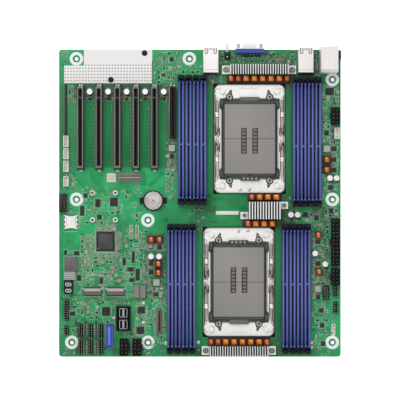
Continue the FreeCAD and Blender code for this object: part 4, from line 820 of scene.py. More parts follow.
TRACE_BUNDLES = [
    ([(90, 102), (90, 168)], 8, 0.9), ([(108, 102), (108, 168)], 8, 0.9), ([(127, 102), (127, 160)], 7, 0.9),
    ([(145, 102), (145, 168)], 8, 0.9), ([(163, 102), (163, 165)], 7, 0.9),
    ([(92, 172), (92, 178), (106, 192), (106, 196)], 7, 0.6), ([(75, 173), (75, 178), (95, 198)], 6, 0.6),
    ([(112, 174), (118, 180), (140, 202), (140, 212)], 9, 0.6), ([(143, 172), (143, 186)], 8, 0.7),
    ([(163, 172), (158, 178), (150, 186)], 7, 0.6), ([(204, 196), (246, 196)], 5, 0.8),
    ([(204, 204), (222, 204), (226, 208), (246, 208)], 6, 0.8), ([(196, 215), (240, 215)], 5, 0.9),
    ([(196, 219), (240, 219)], 4, 0.9), ([(205, 223), (213, 226), (240, 226)], 6, 0.8),
    ([(210, 92), (210, 200)], 6, 0.8), ([(288, 90), (288, 196)], 6, 0.8), ([(199, 232), (199, 340)], 5, 0.8),
    ([(279, 232), (279, 330)], 6, 0.8), ([(62, 178), (62, 300)], 4, 0.7),
    ([(122, 240), (140, 240), (160, 220), (168, 220)], 8, 0.6), ([(122, 250), (134, 262), (134, 285)], 8, 0.6),
    ([(96, 262), (96, 286)], 9, 0.6), ([(118, 262), (118, 286)], 8, 0.6), ([(70, 296), (92, 296),
    (100, 304)], 6, 0.6),
    ([(128, 300), (150, 300), (150, 310)], 6, 0.6), ([(84, 306), (84, 322)], 7, 0.7),
    ([(100, 300), (100, 322)], 7, 0.7), ([(132, 300), (132, 336)], 6, 0.7), ([(118, 186), (118, 222)], 5, 0.7),
    ([(265, 52), (292, 52)], 4, 0.8), ([(160, 55), (180, 55)], 5, 0.8), ([(157, 60), (157, 80)], 5, 0.8),
    ([(312, 300), (328, 300)], 4, 0.7), ([(312, 330), (330, 330)], 4, 0.7), ([(314, 318), (314, 340)], 3, 0.7),
    ([(64, 230), (78, 230), (84, 236)], 5, 0.6), ([(150, 345), (165, 345)], 4, 0.8),
]
VIA_GRIDS = [
    (67, 234, 6, 4, 1.9), (67, 241, 5, 3, 1.9), (92, 175.5, 7, 5, 2.0), (98, 191, 4, 2, 1.9), (130, 197, 4, 4, 1.9),
    (144, 176, 2, 6, 1.9), (208, 198, 9, 2, 2.1), (230, 199, 6, 6, 2.0), (255, 54, 6, 2, 2.0), (282, 50.8, 5, 5, 2.0),
    (186, 62, 5, 3, 2.0), (126, 245, 3, 5, 1.9), (66, 304, 5, 4, 1.9), (106, 298, 6, 3, 1.9), (316, 310, 4, 4, 1.9),
    (312, 205, 5, 2, 2.0), (135, 310, 4, 5, 1.9), (88, 100, 3, 2, 1.9),
]


class MOTHERBOARD_OT_traces(bpy.types.Operator):
    """Copper traces under the lacquer and rows of vias"""
    bl_idname = "motherboard.traces"
    bl_label = "Traces"

    def execute(self, context):
        look, sizes = context.scene.board_look, context.scene.print_look
        lacquer = tinted("traced_lacquer", 0.38, 0.0, 0.25)
        strips = [bundle(path, count, pitch, sizes.trace_width + pitch * 0.25).painted(look.board_bright)
                  for path, count, pitch in TRACE_BUNDLES]
        dots = []
        for column, row, across, along, step in VIA_GRIDS:
            grid = np.stack(np.meshgrid(np.arange(across) * step, np.arange(along) * step), -1).reshape(-1, 2)
            dots.append(grid * (1, -1) + spot(column, row))
        dots = np.concatenate(dots)
        dots = dots[open_places(covered_cells(), dots, 1.0, 1.0)]
        rim = annulus(0.3, 0.5, 0.045, 8).painted(tone(24, 118, 66))
        core = tower(disc(0.32, 8), [(0, 0), (0, 0.03)]).painted(tone(10, 62, 36))
        piece("copper_traces", joined(strips).moved(z=BOARD_TOP), lacquer)
        piece("vias", (rim.at(dots) + core.at(dots)).moved(z=BOARD_TOP), lacquer)
        return {"FINISHED"}


PART_ZONES = [
    (80, 234, 97, 258, 0.75), (97, 224, 119, 231.5, 0.9), (116, 231, 122, 258, 0.8), (84, 252, 122, 264, 0.75),
    (62, 264, 84, 300, 0.35), (76, 258, 104, 286, 0.45), (104, 262, 146, 286, 0.55), (124, 228, 148, 262, 0.55),
    (124, 286, 168, 340, 0.5), (80, 298, 126, 324, 0.5), (62, 296, 80, 356, 0.4), (76, 322, 104, 356, 0.5),
    (104, 300, 118, 326, 0.5), (140, 232, 168, 300, 0.6), (144, 332, 166, 356, 0.35), (62, 196, 84, 230, 0.4),
    (80, 186, 120, 224, 0.3), (120, 184, 150, 222, 0.22), (68, 85, 76, 104, 0.7), (62, 172, 78, 196, 0.3),
    (152, 52, 182, 84, 0.55), (176, 60, 206, 78, 0.45), (164, 84, 178, 98, 0.5), (82, 95, 172, 101, 0.55),
    (166, 138, 178, 200, 0.55), (205, 60, 222, 84, 0.4), (220, 49.7, 300, 63, 0.45), (294, 60, 300, 84, 0.8),
    (313, 49.8, 322, 80, 0.75), (322, 84, 341, 200, 0.8), (309, 205, 341, 222, 0.75), (310, 222, 331, 300, 0.85),
    (310, 300, 331, 356, 0.4), (331, 300, 341, 336, 0.35), (284, 205, 312, 222, 0.5), (270, 340, 284, 356, 0.3),
    (278, 196, 296, 206, 0.4), (190, 206, 206, 230, 0.2), (168, 349, 200, 357, 0.3), (282, 349, 312, 357, 0.3),
    (62, 50, 70, 64, 0.4), (100, 284, 106, 300, 0.5),
]
PART_TONES = [(26, 24, 26), (176, 160, 136), (110, 92, 76), (34, 28, 28), (196, 188, 172), (70, 66, 64)]


def larger_parts(table, random):
    """Three-legged transistors, block capacitors and round coils on a loose grid of the crowded zones."""
    places = []
    for left, rear, right, front, share in PART_ZONES:
        low, high = spot(left, front), spot(right, rear)
        grid = np.stack(np.meshgrid(np.arange(low[0] + 2.2, high[0] - 1.8, 5.6),
                                    np.arange(low[1] + 2.0, high[1] - 1.6, 5.2)), -1).reshape(-1, 2)
        grid = grid + random.uniform(-0.9, 0.9, grid.shape)
        places.append(grid[random.random(len(grid)) < share * 0.75])
    places = np.concatenate(places)
    _, first = np.unique(np.round(places / 4.6), axis=0, return_index=True)
    places = places[np.sort(first)]
    places = places[open_places(table, places, 5.2, 4.4)]
    kind = random.random(len(places))
    turns = np.where(random.random(len(places)) < 0.5, 90.0, 0.0)
    base = np.column_stack([places, np.full(len(places), BOARD_TOP)])
    dark, pale, coil = base[kind < 0.5], base[(kind >= 0.5) & (kind < 0.82)], base[kind >= 0.82]
    body = bar(2.7, 1.5, 1.05, 0.15)
    legs = joined([bar(0.5, 0.9, 0.4, 0.08).moved(*end) for end in ((-0.95, -1.0), (0.95, -1.0), (0, 1.0))])
    block = bar(1.9, 2.0, 1.3, 0.15)
    caps = joined([bar(0.6, 2.1, 1.35, 0.1).moved(x=side * 1.2) for side in (-1, 1)])
    drum = tower(disc(1.7, 14), [(0, 0), (0, 1.2), (0.25, 1.5)])
    core = tower(disc(0.9, 10), [(0, 1.4), (0.1, 1.62)])
    outline = frame_mark(4.2, 3.4, 0.22)
    half = kind < 0.5
    shades = np.array([tone(34, 30, 30), tone(58, 42, 36), tone(24, 24, 30)])[random.integers(0, 3, len(dark))]
    warm = np.array([tone(184, 168, 142), tone(150, 134, 112), tone(206, 198, 180)])[random.integers(0, 3, len(pale))]
    resin = (body.at(dark, turns[half], 1.0, shades) + block.at(pale, turns[(kind >= 0.5) & (kind < 0.82)], 1.0, warm)
             + drum.at(coil).painted(tone(176, 166, 146)) + core.at(coil).painted(tone(120, 108, 92)))
    piece("larger_parts", resin, SHARED["resin"])
    piece("larger_part_legs", legs.at(dark, turns[half]).painted(tone(200, 202, 190))
          + caps.at(pale, turns[(kind >= 0.5) & (kind < 0.82)]).painted(tone(208, 208, 196)), SHARED["tin"])
    piece("larger_part_outlines", outline.at(base, turns).painted(tone(206, 236, 216)), SHARED["ink"])
    return places


class MOTHERBOARD_OT_small_parts(bpy.types.Operator):
    """Resistors, capacitors and small transistors in rows"""
    bl_idname = "motherboard.small_parts"
    bl_label = "Small parts"

    def execute(self, context):
        look = context.scene.board_look
        table = covered_cells()
        random = np.random.default_rng(PART_SEED)
        places, turns, shares = [], [], []
        for left, rear, right, front, share in PART_ZONES:
            low, high = spot(left, front), spot(right, rear)
            grid = np.stack(np.meshgrid(*(np.arange(low[k] + 1.1, high[k] - 1.0, PART_STEP) for k in (0, 1))),
                            -1).reshape(-1, 2)
            patch = np.floor(grid / PART_PATCH).astype(int)
            upright = (patch[:, 0] * 7 + patch[:, 1] * 13) % 3 == 0
            keep = random.random(len(grid)) < share * (0.5 + 0.95 * ((patch[:, 0] * 5 + patch[:, 1] * 11) % 4 > 0))
            places.append(grid[keep] + random.uniform(-0.12, 0.12, (keep.sum(), 2)))
            turns.append(np.where(upright, 90.0, 0.0)[keep])
            shares.append(random.random(keep.sum()))
        places, turns, shares = np.concatenate(places), np.concatenate(turns), np.concatenate(shares)
        size = np.where(shares > 0.86, 1.35, np.where(shares > 0.4, 0.95, 0.7))
        larger = larger_parts(table, random)
        apart = np.abs(places[:, None] - larger[None])
        clear = ~((apart[..., 0] < 2.9) & (apart[..., 1] < 2.6)).any(1)
        free = open_places(table, places, 2.2, 2.2) & clear & (np.abs(places[:, 0]) < PART_REACH)
        _, first = np.unique(np.round(places / 1.85), axis=0, return_index=True)
        alone = np.zeros(len(places), bool)
        alone[first] = True
        keep = free & alone & (random.random(len(places)) < 0.72)
        places, turns, size = places[keep], turns[keep], size[keep]
        count = len(places)
        shade = np.array([tone(*rgb) for rgb in PART_TONES])[random.integers(0, len(PART_TONES), count)]
        shade *= random.uniform(0.85, 1.15, (count, 1))
        stretch = np.column_stack([size, size, size])
        body = tower(rectangle(1.0, 0.9), [(0, 0.02), (0, 0.6)])
        ends = joined([tower(rectangle(0.36, 0.96), [(0, 0), (0, 0.63)]).moved(x=side * 0.66) for side in (-1, 1)])
        pads = joined([tower(rectangle(0.7, 1.15), [(0, 0), (0, 0.05)]).moved(x=side * 0.85) for side in (-1, 1)])
        tins = np.tile(tone(214, 218, 204), (count, 1)) * random.uniform(0.7, 1.1, (count, 1))
        piece("small_part_bodies", body.at(places, turns, stretch, shade).moved(z=BOARD_TOP),
              tinted("part_ceramic", 0.45, 0.0, 0.15))
        piece("small_part_ends", (ends.at(places, turns, stretch, tins)
                                  + pads.at(places, turns, stretch, tins * 0.9)).moved(z=BOARD_TOP),
              tinted("part_solder", 0.34, 0.35, 0.15))
        marks = random.random(count) < 0.55
        dash = joined([ribbon([(-1.25, side * 0.82), (1.25, side * 0.82)], 0.14, 0.03) for side in (-1, 1)])
        piece("part_marks", dash.at(places[marks], turns[marks]).painted(look.ink).moved(z=BOARD_TOP),
              SHARED["ink"])
        return {"FINISHED"}


HOLE_SPOTS = [(76.47, 58.88), (189.5, 58.88), (332.5, 79.64), (76.47, 199.6), (147.99, 220.37), (332.5, 199.6),
              (71.86, 342.64), (147.99, 342.64), (332.5, 342.64)]


MEMORY_KEYS = {"a": 0, "b": 0, "c": 180, "d": 180}


class MOTHERBOARD_OT_memory(bpy.types.Operator):
    """Memory sockets with lead-in grooves, key bars, latch towers and contacts"""
    bl_idname = "motherboard.memory"
    bl_label = "Memory sockets"

    def execute(self, context):
        sizes = context.scene.memory_look
        for bank, turn in MEMORY_KEYS.items():
            node = "dimm_sockets_" + bank
            low, high = solid_boxes(node)
            places = np.column_stack([(low[:, :2] + high[:, :2]) / 2, low[:, 2]])
            width, length, tall = high[0] - low[0]
            form, contacts = memory_socket(sizes, width, length, tall)
            piece("memory_sockets_" + bank, form.at(places, turn), CAD_FINISHES["dimm_plastic"], "board", node)
            piece("memory_contacts_" + bank, contacts.at(places, turn), CAD_FINISHES["gold"])
        return {"FINISHED"}


def memory_socket(sizes, width, length, tall):
    """Memory socket round the origin: a grooved profile carried along Y, cheeks and a waist at each end, contacts."""
    rail, lead, groove = sizes.rail_height, sizes.lead / 2, sizes.groove / 2
    half, reach = width / 2, length / 2 - sizes.bay
    side = [(half, 0), (half, rail - 2.0), (half - 0.45, rail - 0.25), (half - 0.75, rail), (lead + 0.15, rail),
            (lead, rail - 0.2), (groove, rail - 1.6), (groove, rail - 6.0)]
    profile = np.array(side + [(-x, z) for x, z in side[::-1]])
    body = tower(profile, [(0, -reach), (0, reach)], "y")
    key = tower(rectangle(2 * lead, 1.7), [(0, rail - 6.0), (0, rail - 0.5), (0.2, rail - 0.2)]).moved(y=-4.7)
    # The key bar's tint lifts it a quarter above the rails: a painted highlight.
    parts = [body, key.painted((1.25, 1.25, 1.2))]
    dark = (0.16, 0.16, 0.2)
    for end in (-1, 1):
        cheek = tower(rectangle(0.66, sizes.bay + 0.9, 0.3), [(0, 0), (0, tall - 0.4), (0.2, tall)])
        middle = end * (reach + sizes.bay / 2 - 0.45)
        parts += [cheek.moved(hand * (half - 0.34), middle).painted(dark) for hand in (-1, 1)]
        waist = tower(rectangle(width - 1.4, 0.9), [(0, 0), (0, tall - 1.2), (0.3, tall - 0.8)])
        parts.append(waist.moved(y=end * (reach - 0.2)).painted(dark))
        floor = tower(rectangle(width - 1.4, sizes.bay), [(0, 0), (0.1, 1.1)])
        parts.append(floor.moved(y=end * (reach + sizes.bay / 2)).painted(dark))
        # Pale wedges at the inner ends of the rails, tinted far above the plastic: painted glints.
        glint_wedge = tower(np.array([(0, rail), (2.6, rail), (0, rail + 3.6)]), [(0.1, -0.35), (0, -0.2), (0, 0.35)], "x")
        glint_wedge = glint_wedge.at([(hand * (half - 1.6), 0, 0) for hand in (-1, 1)], 0, (2.6, 1, 1)).painted((1.8, 1.8, 1.7))
        parts.append(glint_wedge.at([(0, end * (reach - 0.7), 0)], 0 if end < 0 else 180))
    steps = np.arange(-reach + 2.4, reach - 2.4, sizes.contact_pitch)
    steps = steps[np.abs(steps + 4.7) > 1.3]
    places = np.array([(hand * (groove - 0.02), step) for hand in (-1, 1) for step in steps])
    contact = tower(rectangle(0.24, 0.42), [(0, rail - 5.6), (0.04, rail - 1.5)])
    return joined(parts), contact.at(places)


class MOTHERBOARD_OT_slots(bpy.types.Operator):
    """Contacts, solder tabs, key bars, capacitor rows and tracks of the card slots, and the sheet's stitched edge"""
    bl_idname = "motherboard.slots"
    bl_label = "Card slots"

    def execute(self, context):
        low, high = solid_boxes("slot_housings")
        order = np.argsort(low[:, 0])
        low, high = low[order], high[order]
        centre = (low + high) / 2
        finger = tower(rectangle(0.26, 0.5), [(0, 3.6), (0.04, 9.6)])
        places = []
        for start, end, middle in zip(low, high, centre):
            steps = np.arange(start[1] + 3.0, end[1] - 3.0, 1.0)
            steps = steps[np.abs(steps - (end[1] - 14.2)) > 1.6]
            places += [(middle[0] + hand * 0.86, step, BOARD_TOP) for hand in (-1, 1) for step in steps]
        piece("slot_contacts", finger.at(places), CAD_FINISHES["gold"])
        columns = [EDGE_COLUMN + (x - BOARD_LOW[0]) / PITCH for x in centre[:, 0]]
        white, grey = (226, 230, 218), (150, 146, 138)
        rows = []
        for column in columns[:5]:
            rows += [(column - 1.25, 85.7, 1.3, 2.3, 0, 0.9, white), (column + 1.25, 85.7, 1.3, 2.3, 0, 0.9, white),
                     (column, 85.7, 1.2, 1.4, 0, 0.7, grey), (column, 168.1, 4.2, 0.9, 0, 6.0, (92, 86, 82))]
            rows += [(column - 6.0, 109.5, 0.6, 3.4, 0, 0.05, (120, 176, 140))]
        foot = tower(np.array([(-2.3, -1.3), (2.3, -1.3), (1.3, 1.3), (-1.3, 1.3)]), [(0, 0), (0.1, 0.7)])
        feet = foot.at([(*spot(column, 170.7), BOARD_TOP) for column in columns[:5]]).painted(tone(228, 232, 214))
        for column in columns[:5]:
            rows += [(column, 98.1, 3.6, 0.8, 9.0, 2.2, (120, 114, 108))]
            rows += [(column - side * 3.35, 127.6, 0.35, 86, 0, 5.0, (58, 52, 48)) for side in (-1, 1)]
        rows += [(169.6, 111.7, 0.9, 50.5, 0, 8.0, (150, 146, 140)),
                 (171.0, 85.6, 1.6, 2.2, 0, 0.9, white), (174.4, 85.6, 1.6, 2.2, 0, 0.9, white)]
        piece("slot_tabs", blocks(rows) + feet, SHARED["tin"])
        body = bar(0.62, 0.78, 0.55, 0.05).moved(z=0.02).painted(tone(112, 96, 78))
        ends = joined([bar(0.66, 0.34, 0.6, 0.05).moved(y=side * 0.52).painted(tone(176, 182, 166))
                       for side in (-1, 1)])
        pair = (body + ends).at([(-0.62, 0, 0), (0.62, 0.35, 0)])
        spread = [(column - 5.0, row) for column in columns for row in np.arange(105.5, 167, 3.72)]
        spread = [place for place in spread if place[0] < 165 or place[1] < 137]
        piece("slot_capacitors", pair.at([(*spot(*place), BOARD_TOP) for place in spread]), SHARED["resin"])
        stripe = [(column + 5.5, 134, 0.7, 62, 0, 0.03, (40, 150, 88)) for column in columns[:5]]
        stripe += [(column + 9.2, 134, 2.6, 64, 0, 0.03, (38, 140, 82)) for column in columns[:4]]
        piece("slot_tracks", blocks(stripe), SHARED["resin"])
        low, high = (np.array(corner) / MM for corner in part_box("slot_insulator"))
        front = [(x, low[1] - 0.45, BOARD_TOP) for x in np.arange(low[0] + 1.0, high[0] - 0.5, 1.9)]
        side = [(high[0] + 0.15, y, BOARD_TOP) for y in np.arange(low[1] + 1.0, high[1] - 13.0, 1.9)]
        side += [(low[0] - 0.15, y, BOARD_TOP) for y in np.arange(low[1] + 1.0, high[1] - 17.0, 1.9)]
        dot = bar(1.05, 1.2, 0.45, 0.1).painted(tone(34, 38, 34))
        piece("sheet_stitches", dot.at(front) + dot.at(side), SHARED["resin"])
        return {"FINISHED"}


class MOTHERBOARD_OT_sockets(bpy.types.Operator):
    """Black backing sheets with a painted shadow outline, rails, spring marks, screw recesses and cover marks of both
    processor sockets
    """
    bl_idname = "motherboard.sockets"
    bl_label = "Processor sockets"

    def execute(self, context):
        plate_top = lift("bolster_plate_1")
        for number, turn in ((1, 0), (2, 180)):
            low, high = (np.array(corner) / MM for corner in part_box("bolster_plate_%d" % number))
            centre = [(*(low[:2] + high[:2]) / 2, BOARD_TOP)]
            piece("socket_backing_%d" % number, socket_backing_and_shadow().at(centre, turn), SHARED["resin"])
            piece("socket_rails_%d" % number, socket_rails(plate_top).at(centre, turn), SHARED["tin"])
            piece("cover_marks_%d" % number, cover_marks(lift("socket_cover_1")).at(centre, turn), SHARED["resin"],
                  "socket_cover_%d" % number)
        return {"FINISHED"}


SOCKET_COLUMN, SOCKET_ROW = 249.75, 139.0
SPRING_HALF, SPRING_RISE = 42.0, 1.6


def near(column, row):
    """Place in mm about the first socket's middle, from a board place in pitches."""
    return ((column - SOCKET_COLUMN) * PITCH, -(row - SOCKET_ROW) * PITCH)


def near_blocks(rows, edge=0.2):
    """Bevelled blocks about a socket's middle, from rows as in blocks."""
    return joined([bar(width * PITCH, length * PITCH, tall, min(edge, tall / 3)).moved(*near(column, row), foot)
                   .painted(tone(*colour)) for column, row, width, length, foot, tall, colour in rows])


def socket_backing_and_shadow():
    """Black sheet round the plate, whose square corners stand for the black plate at the corners and whose rim is a
    painted shadow outline round the plate, and the dark clips in the mouth's corners.
    """
    # Black sheet a little wider than the plate: partly the real black plate, partly a painted shadow round the plate's
    # edge.
    ring = tower(rectangle(79.6, 121.4, 1.0), [(0, 0), (0, 0.3)]).painted(tone(18, 18, 20))
    clip = (50, 66, 56)
    rows = []
    for side in (-1, 1):
        for end, row in ((-1, 103.6), (1, 174.4)):
            column = SOCKET_COLUMN + side * 27.2
            rows += [(column, row, 5.2, 9.6, 2.2, 2.9, clip),
                     (column - side * 3.0, row - end * -3.2, 8.0, 3.2, 2.2, 2.7, clip),
                     (column + side * 0.6, row, 1.8, 5.0, 4.8, 0.5, (84, 98, 88))]
    return ring + near_blocks(rows, 0.4)


def rim_line(width, length, radius, line):
    """A closed strip on z 0 round a rectangle with round corners."""
    path = rectangle(width, length, radius, 6)
    return ribbon(np.vstack([path, path[:2]]), line, 0.08)


def spring_marks(top, rows):
    """Rows cut into short blocks along a leaf spring's top: z = top + 1 + 1.6 (y / 42)^2, in mm from its middle."""
    cut = []
    for column, row, width, length, raised, tall, colour in rows:
        count = int(np.ceil(length / 3.0))
        for step in range(count):
            place = row + ((step + 0.5) / count - 0.5) * length
            along = (place - SOCKET_ROW) * PITCH / SPRING_HALF
            foot = top + 0.8 + SPRING_RISE * along * along + raised
            cut.append((column, place, width, length / count, foot, tall + 0.2, colour))
    return cut


def socket_rails(top):
    """Raised rails along the plate's sides, corner beads, screw recess floors and dark slots."""
    dark, mid, pale = (48, 44, 42), (140, 133, 127), (242, 238, 234)
    rows = []
    for side in (-1, 1):
        column = SOCKET_COLUMN + side * 33.2
        rows += [(SOCKET_COLUMN + side * 34.3, SOCKET_ROW, 0.55, 88, top, 0.12, dark),
                 (SOCKET_COLUMN + side * 32.2, SOCKET_ROW, 0.4, 84, top, 0.1, mid),
                 (SOCKET_COLUMN + side * 33.3, SOCKET_ROW, 1.0, 86, top, 0.45, pale),
                 (column - side * 0.9, 130.6, 1.5, 6.0, top, 0.5, (84, 78, 74)),
                 (column - side * 0.9, 147.4, 1.5, 6.0, top, 0.5, (84, 78, 74)),
                 (column + side * 1.3, 128.2, 1.1, 9.4, top, 0.52, dark),
                 (column + side * 1.3, 149.8, 1.1, 9.4, top, 0.52, dark),
                 (column - side * 0.6, 126.4, 2.6, 1.4, top, 0.55, mid),
                 (column - side * 0.6, 151.6, 2.6, 1.4, top, 0.55, mid),
                 (column, SOCKET_ROW, 3.2, 5.4, top, 0.5, pale),
                 (column, SOCKET_ROW, 1.6, 1.6, top + 2.0, 0.5, (150, 144, 138)),
                 (SOCKET_COLUMN + side * 30.6, 118, 0.5, 22, top, 0.1, dark),
                 (SOCKET_COLUMN + side * 30.6, 160, 0.5, 22, top, 0.1, dark),
                 (column, 113.5, 2.2, 3.4, top, 1.0, pale), (column, 164.5, 2.2, 3.4, top, 1.0, pale),
                 (column + side * 0.2, 133.6, 2.0, 2.2, top, 1.3, dark),
                 (column + side * 0.2, 144.4, 2.0, 2.2, top, 1.3, dark),
                 (column - side * 2.3, 130.4, 1.4, 4.4, top, 0.15, mid),
                 (column - side * 2.3, 149.4, 1.4, 4.4, top, 0.15, mid),
                 (column - side * 1.0, 103.5, 0.6, 12, top, 0.15, mid),
                 (column - side * 1.0, 174.5, 0.6, 12, top, 0.15, mid)]
    for side in (-1, 1):
        rail, inner, line = SOCKET_COLUMN + side * 32.45, SOCKET_COLUMN + side * 30.1, SOCKET_COLUMN + side * 33.4
        rows += spring_marks(top, [
            (line, 108, 0.45, 16, 0, 0.1, dark), (line, 168, 0.45, 17, 0, 0.1, dark),
            (line, SOCKET_ROW, 0.4, 26, 0, 0.1, dark),
            (SOCKET_COLUMN + side * 31.2, SOCKET_ROW, 0.35, 70, 0, 0.08, mid),
            (rail, 115.0, 2.9, 4.6, 0, 0.6, (252, 250, 246)),
            (rail, 159.6, 2.9, 4.6, 0, 0.6, (252, 250, 246)), (rail, 117.8, 2.7, 0.5, 0, 0.2, dark),
            (rail, 156.8, 2.7, 0.5, 0, 0.2, dark), (rail + side * 0.5, 133.5, 1.7, 2.2, 0, 0.2, dark),
            (rail + side * 0.5, 144.7, 1.7, 2.2, 0, 0.2, dark),
            (rail - side * 0.7, 130.2, 1.5, 4.4, 0, 0.12, (96, 90, 86)),
            (rail - side * 0.7, 148.4, 1.5, 4.6, 0, 0.12, (96, 90, 86)),
            (rail, SOCKET_ROW, 2.4, 4.2, 0, 0.3, (236, 232, 228)),
            (rail, SOCKET_ROW, 1.1, 1.1, 0.3, 0.1, (110, 104, 100))])
        rows += [(inner, 131.8, 1.0, 7.6, top, 0.3, (70, 66, 64)), (inner, 147.6, 1.0, 8.4, top, 0.3, (70, 66, 64))]
    rows += [(283.6, 103.6, 1.1, 14.5, top, 0.2, (34, 32, 32)), (283.6, 119.5, 1.1, 7, top, 0.2, (34, 32, 32)),
             (SOCKET_COLUMN, 88.4, 17, 0.5, top, 0.05, (196, 191, 186)),
             (SOCKET_COLUMN, 189.8, 3.2, 3.2, top, 0.05, (196, 190, 184)),
             (240.5, 190, 3.4, 2.6, top, 0.05, (196, 190, 184))]
    lines = []
    for side in (-1, 1):
        for end in (-1, 1):
            x, y = side * 31.4 * PITCH, end * 47.0 * PITCH
            start = {(1, 1): 0, (-1, 1): 90, (-1, -1): 180, (1, -1): 270}[side, end]
            lines += [ribbon(arc(x, y, 3.3, start - 15, start + 105), 0.45, 0.12).moved(z=top).painted(tone(*dark)),
                      ribbon(arc(x - side * 4.2, y + end * 1.2, 3.0, start + 20, start + 70), 0.4, 0.1).moved(z=top)
                      .painted(tone(*mid)),
                      annulus(1.2, 3.0, 0.08, 20).moved(x - side * 5.2, y - end * 0.8, top)
                      .painted(tone(196, 191, 186))]
            x, y = near(SOCKET_COLUMN + side * 20.2, SOCKET_ROW - end * 41.6)
            tip = np.array(near(SOCKET_COLUMN + side * 18.6, SOCKET_ROW - end * 48.6))
            ahead = tip - (x, y)
            across = np.array([-ahead[1], ahead[0]]) / np.linalg.norm(ahead)
            path = np.array([np.array([x, y]) + across * 3.2, tip + across * 0.7, tip - across * 0.7,
                             np.array([x, y]) - across * 3.2])
            fill = np.array([path[0], path[1], path[2], path[3]]) - (x, y)
            fill = fill if np.cross(fill[1] - fill[0], fill[2] - fill[1]) > 0 else fill[::-1]
            lines += [ribbon(path, 0.5, 0.12).moved(z=top).painted(tone(70, 64, 60)),
                      tower(fill, [(0, 0), (0, 0.07)]).moved(x, y, top).painted(tone(146, 140, 134)),
                      annulus(2.9, 4.2, 0.14, 24).moved(x, y, top).painted(tone(72, 66, 62)),
                      annulus(1.5, 3.0, 0.1, 24).moved(x, y, top + 1.1).painted(tone(196, 190, 184)),
                      tower(disc(1.0, 8), [(0, 0), (0, 0.25)]).moved(x, y, top + 1.0).painted(tone(70, 66, 62))]
    edge = rim_line(76.9, 118.5, 6.6, 0.45).painted(tone(62, 58, 56)) + rim_line(74.6, 116.2, 5.6, 0.25).painted(
        tone(186, 181, 176))
    mouth = rim_line(62.6, 89.2, 4.0, 0.6).painted(tone(58, 54, 52))
    return near_blocks(rows) + joined(lines) + (edge + mouth).moved(z=top)


def cover_marks(top):
    """Raised face, middle groove, two ladder recesses and tab ribs of a socket cover."""
    face, dark, rung = (153, 149, 145), (58, 54, 52), (124, 120, 116)
    rows = [(249.9, 139.2, 50.2, 69.2, top - 0.05, 0.25, face),
            (232.9, 139.1, 16.0, 0.5, top + 0.2, 0.06, dark), (266.6, 139.1, 16.6, 0.5, top + 0.2, 0.06, dark),
            (249.6, 139.1, 5.6, 0.5, top + 0.2, 0.06, dark), (249.7, 174.4, 3.0, 1.6, top, 0.1, (24, 26, 24))]
    for column in (244.0, 255.2):
        rows.append((column, 141.1, 5.6, 25.6, top + 0.14, 0.1, dark))
        rows += [(column, 130.3 + step * 3.6, 3.4, 2.3, top + 0.2, 0.12, rung) for step in range(7)]
    tab = top - 1.2
    rows += [(249.6, 99.4, 19.0, 4.2, tab - 1.0, 1.1, (104, 104, 98)),
             (250.2, 178.8, 18.6, 4.2, tab - 1.0, 1.1, (58, 58, 56))]
    rows += [(242.0 + step * 1.9, 99.4 + (step % 2) * 0.9 - 0.45, 0.9, 1.6, tab + 0.05, 0.3, (140, 140, 132))
             for step in range(9)]
    rows += [(243.8 + step * 4.2, 178.9, 2.4, 2.4, tab + 0.05, 0.2, (150, 150, 144)) for step in range(4)]
    outline = frame_mark(50.8 * PITCH, 69.8 * PITCH, 0.55).moved(*near(249.9, 139.2), top + 0.1)
    return near_blocks(rows, 0.15) + outline.painted(tone(40, 42, 40))


class MOTHERBOARD_OT_chokes(bpy.types.Operator):
    """Chokes: dark cores, bright copper tops with painted shade on their edges, and dark beds of painted shadow under
    the rows
    """
    bl_idname = "motherboard.chokes"
    bl_label = "Chokes"

    def execute(self, context):
        low, high = solid_boxes("choke_cores")
        size = high - low
        centre = np.column_stack([(low[:, :2] + high[:, :2]) / 2, low[:, 2]])
        small = size[:, 0] < 7.2
        cores = joined([bar(*size[k], 0.45, 0.5).moved(*centre[k]).painted(tone(72, 38, 30)) for k in range(len(size))])
        tops, strips = [], []
        for k in range(len(size)):
            width, depth, tall = size[k] * (0.78, 0.84, 1.0)
            warm = tone(224, 122, 62) if small[k] else tone(244, 152, 54)
            # The top's outer band is darker than its middle: painted shade on the top's edges.
            rim = tone(168, 86, 50) if small[k] else tone(214, 112, 40)
            tops.append(bar(width, depth, 0.4, 0.3, 0.4).moved(*centre[k][:2], centre[k][2] + tall).painted(rim))
            tops.append(bar(width * 0.72, depth * 0.72, 0.1, 0.05, 0.3).moved(*centre[k][:2], centre[k][2] + tall + 0.4)
                        .painted(warm))
            strip = bar(0.5, depth * 0.6, tall * 0.8, 0.1).painted(tone(150, 128, 108))
            strips += [strip.moved(centre[k][0] + side * (size[k][0] / 2 - 0.1), centre[k][1], centre[k][2])
                       for side in (-1, 1)]
        piece("choke_bodies", cores, SHARED["resin"], "board", "choke_cores")
        piece("choke_tops", joined(tops), SHARED["tin"], "board", "choke_coils")
        piece("choke_terminals", joined(strips), SHARED["tin"])
        # Dark beds under the rows of chokes: painted shadow in the gaps between the chokes.
        shadow_beds = [(258.3, 79.2, 62.5, 8.6, 0, 3.0, (52, 30, 24)), (238.9, 341.6, 62.0, 8.0, 0, 3.0, (52, 30, 24)),
                (264.6, 197.6, 34.0, 7.4, 0, 3.0, (52, 32, 26)), (259.6, 223.6, 34.0, 7.4, 0, 3.0, (52, 32, 26)),
                (326.8, 164.6, 7.4, 17.6, 0, 2.6, (60, 40, 32)), (155.4, 239.6, 15.0, 7.2, 0, 2.6, (60, 40, 32)),
                (158.4, 268.2, 7.2, 16.0, 0, 2.6, (60, 40, 32))]
        piece("choke_shadow_beds", blocks(shadow_beds), SHARED["resin"])
        return {"FINISHED"}


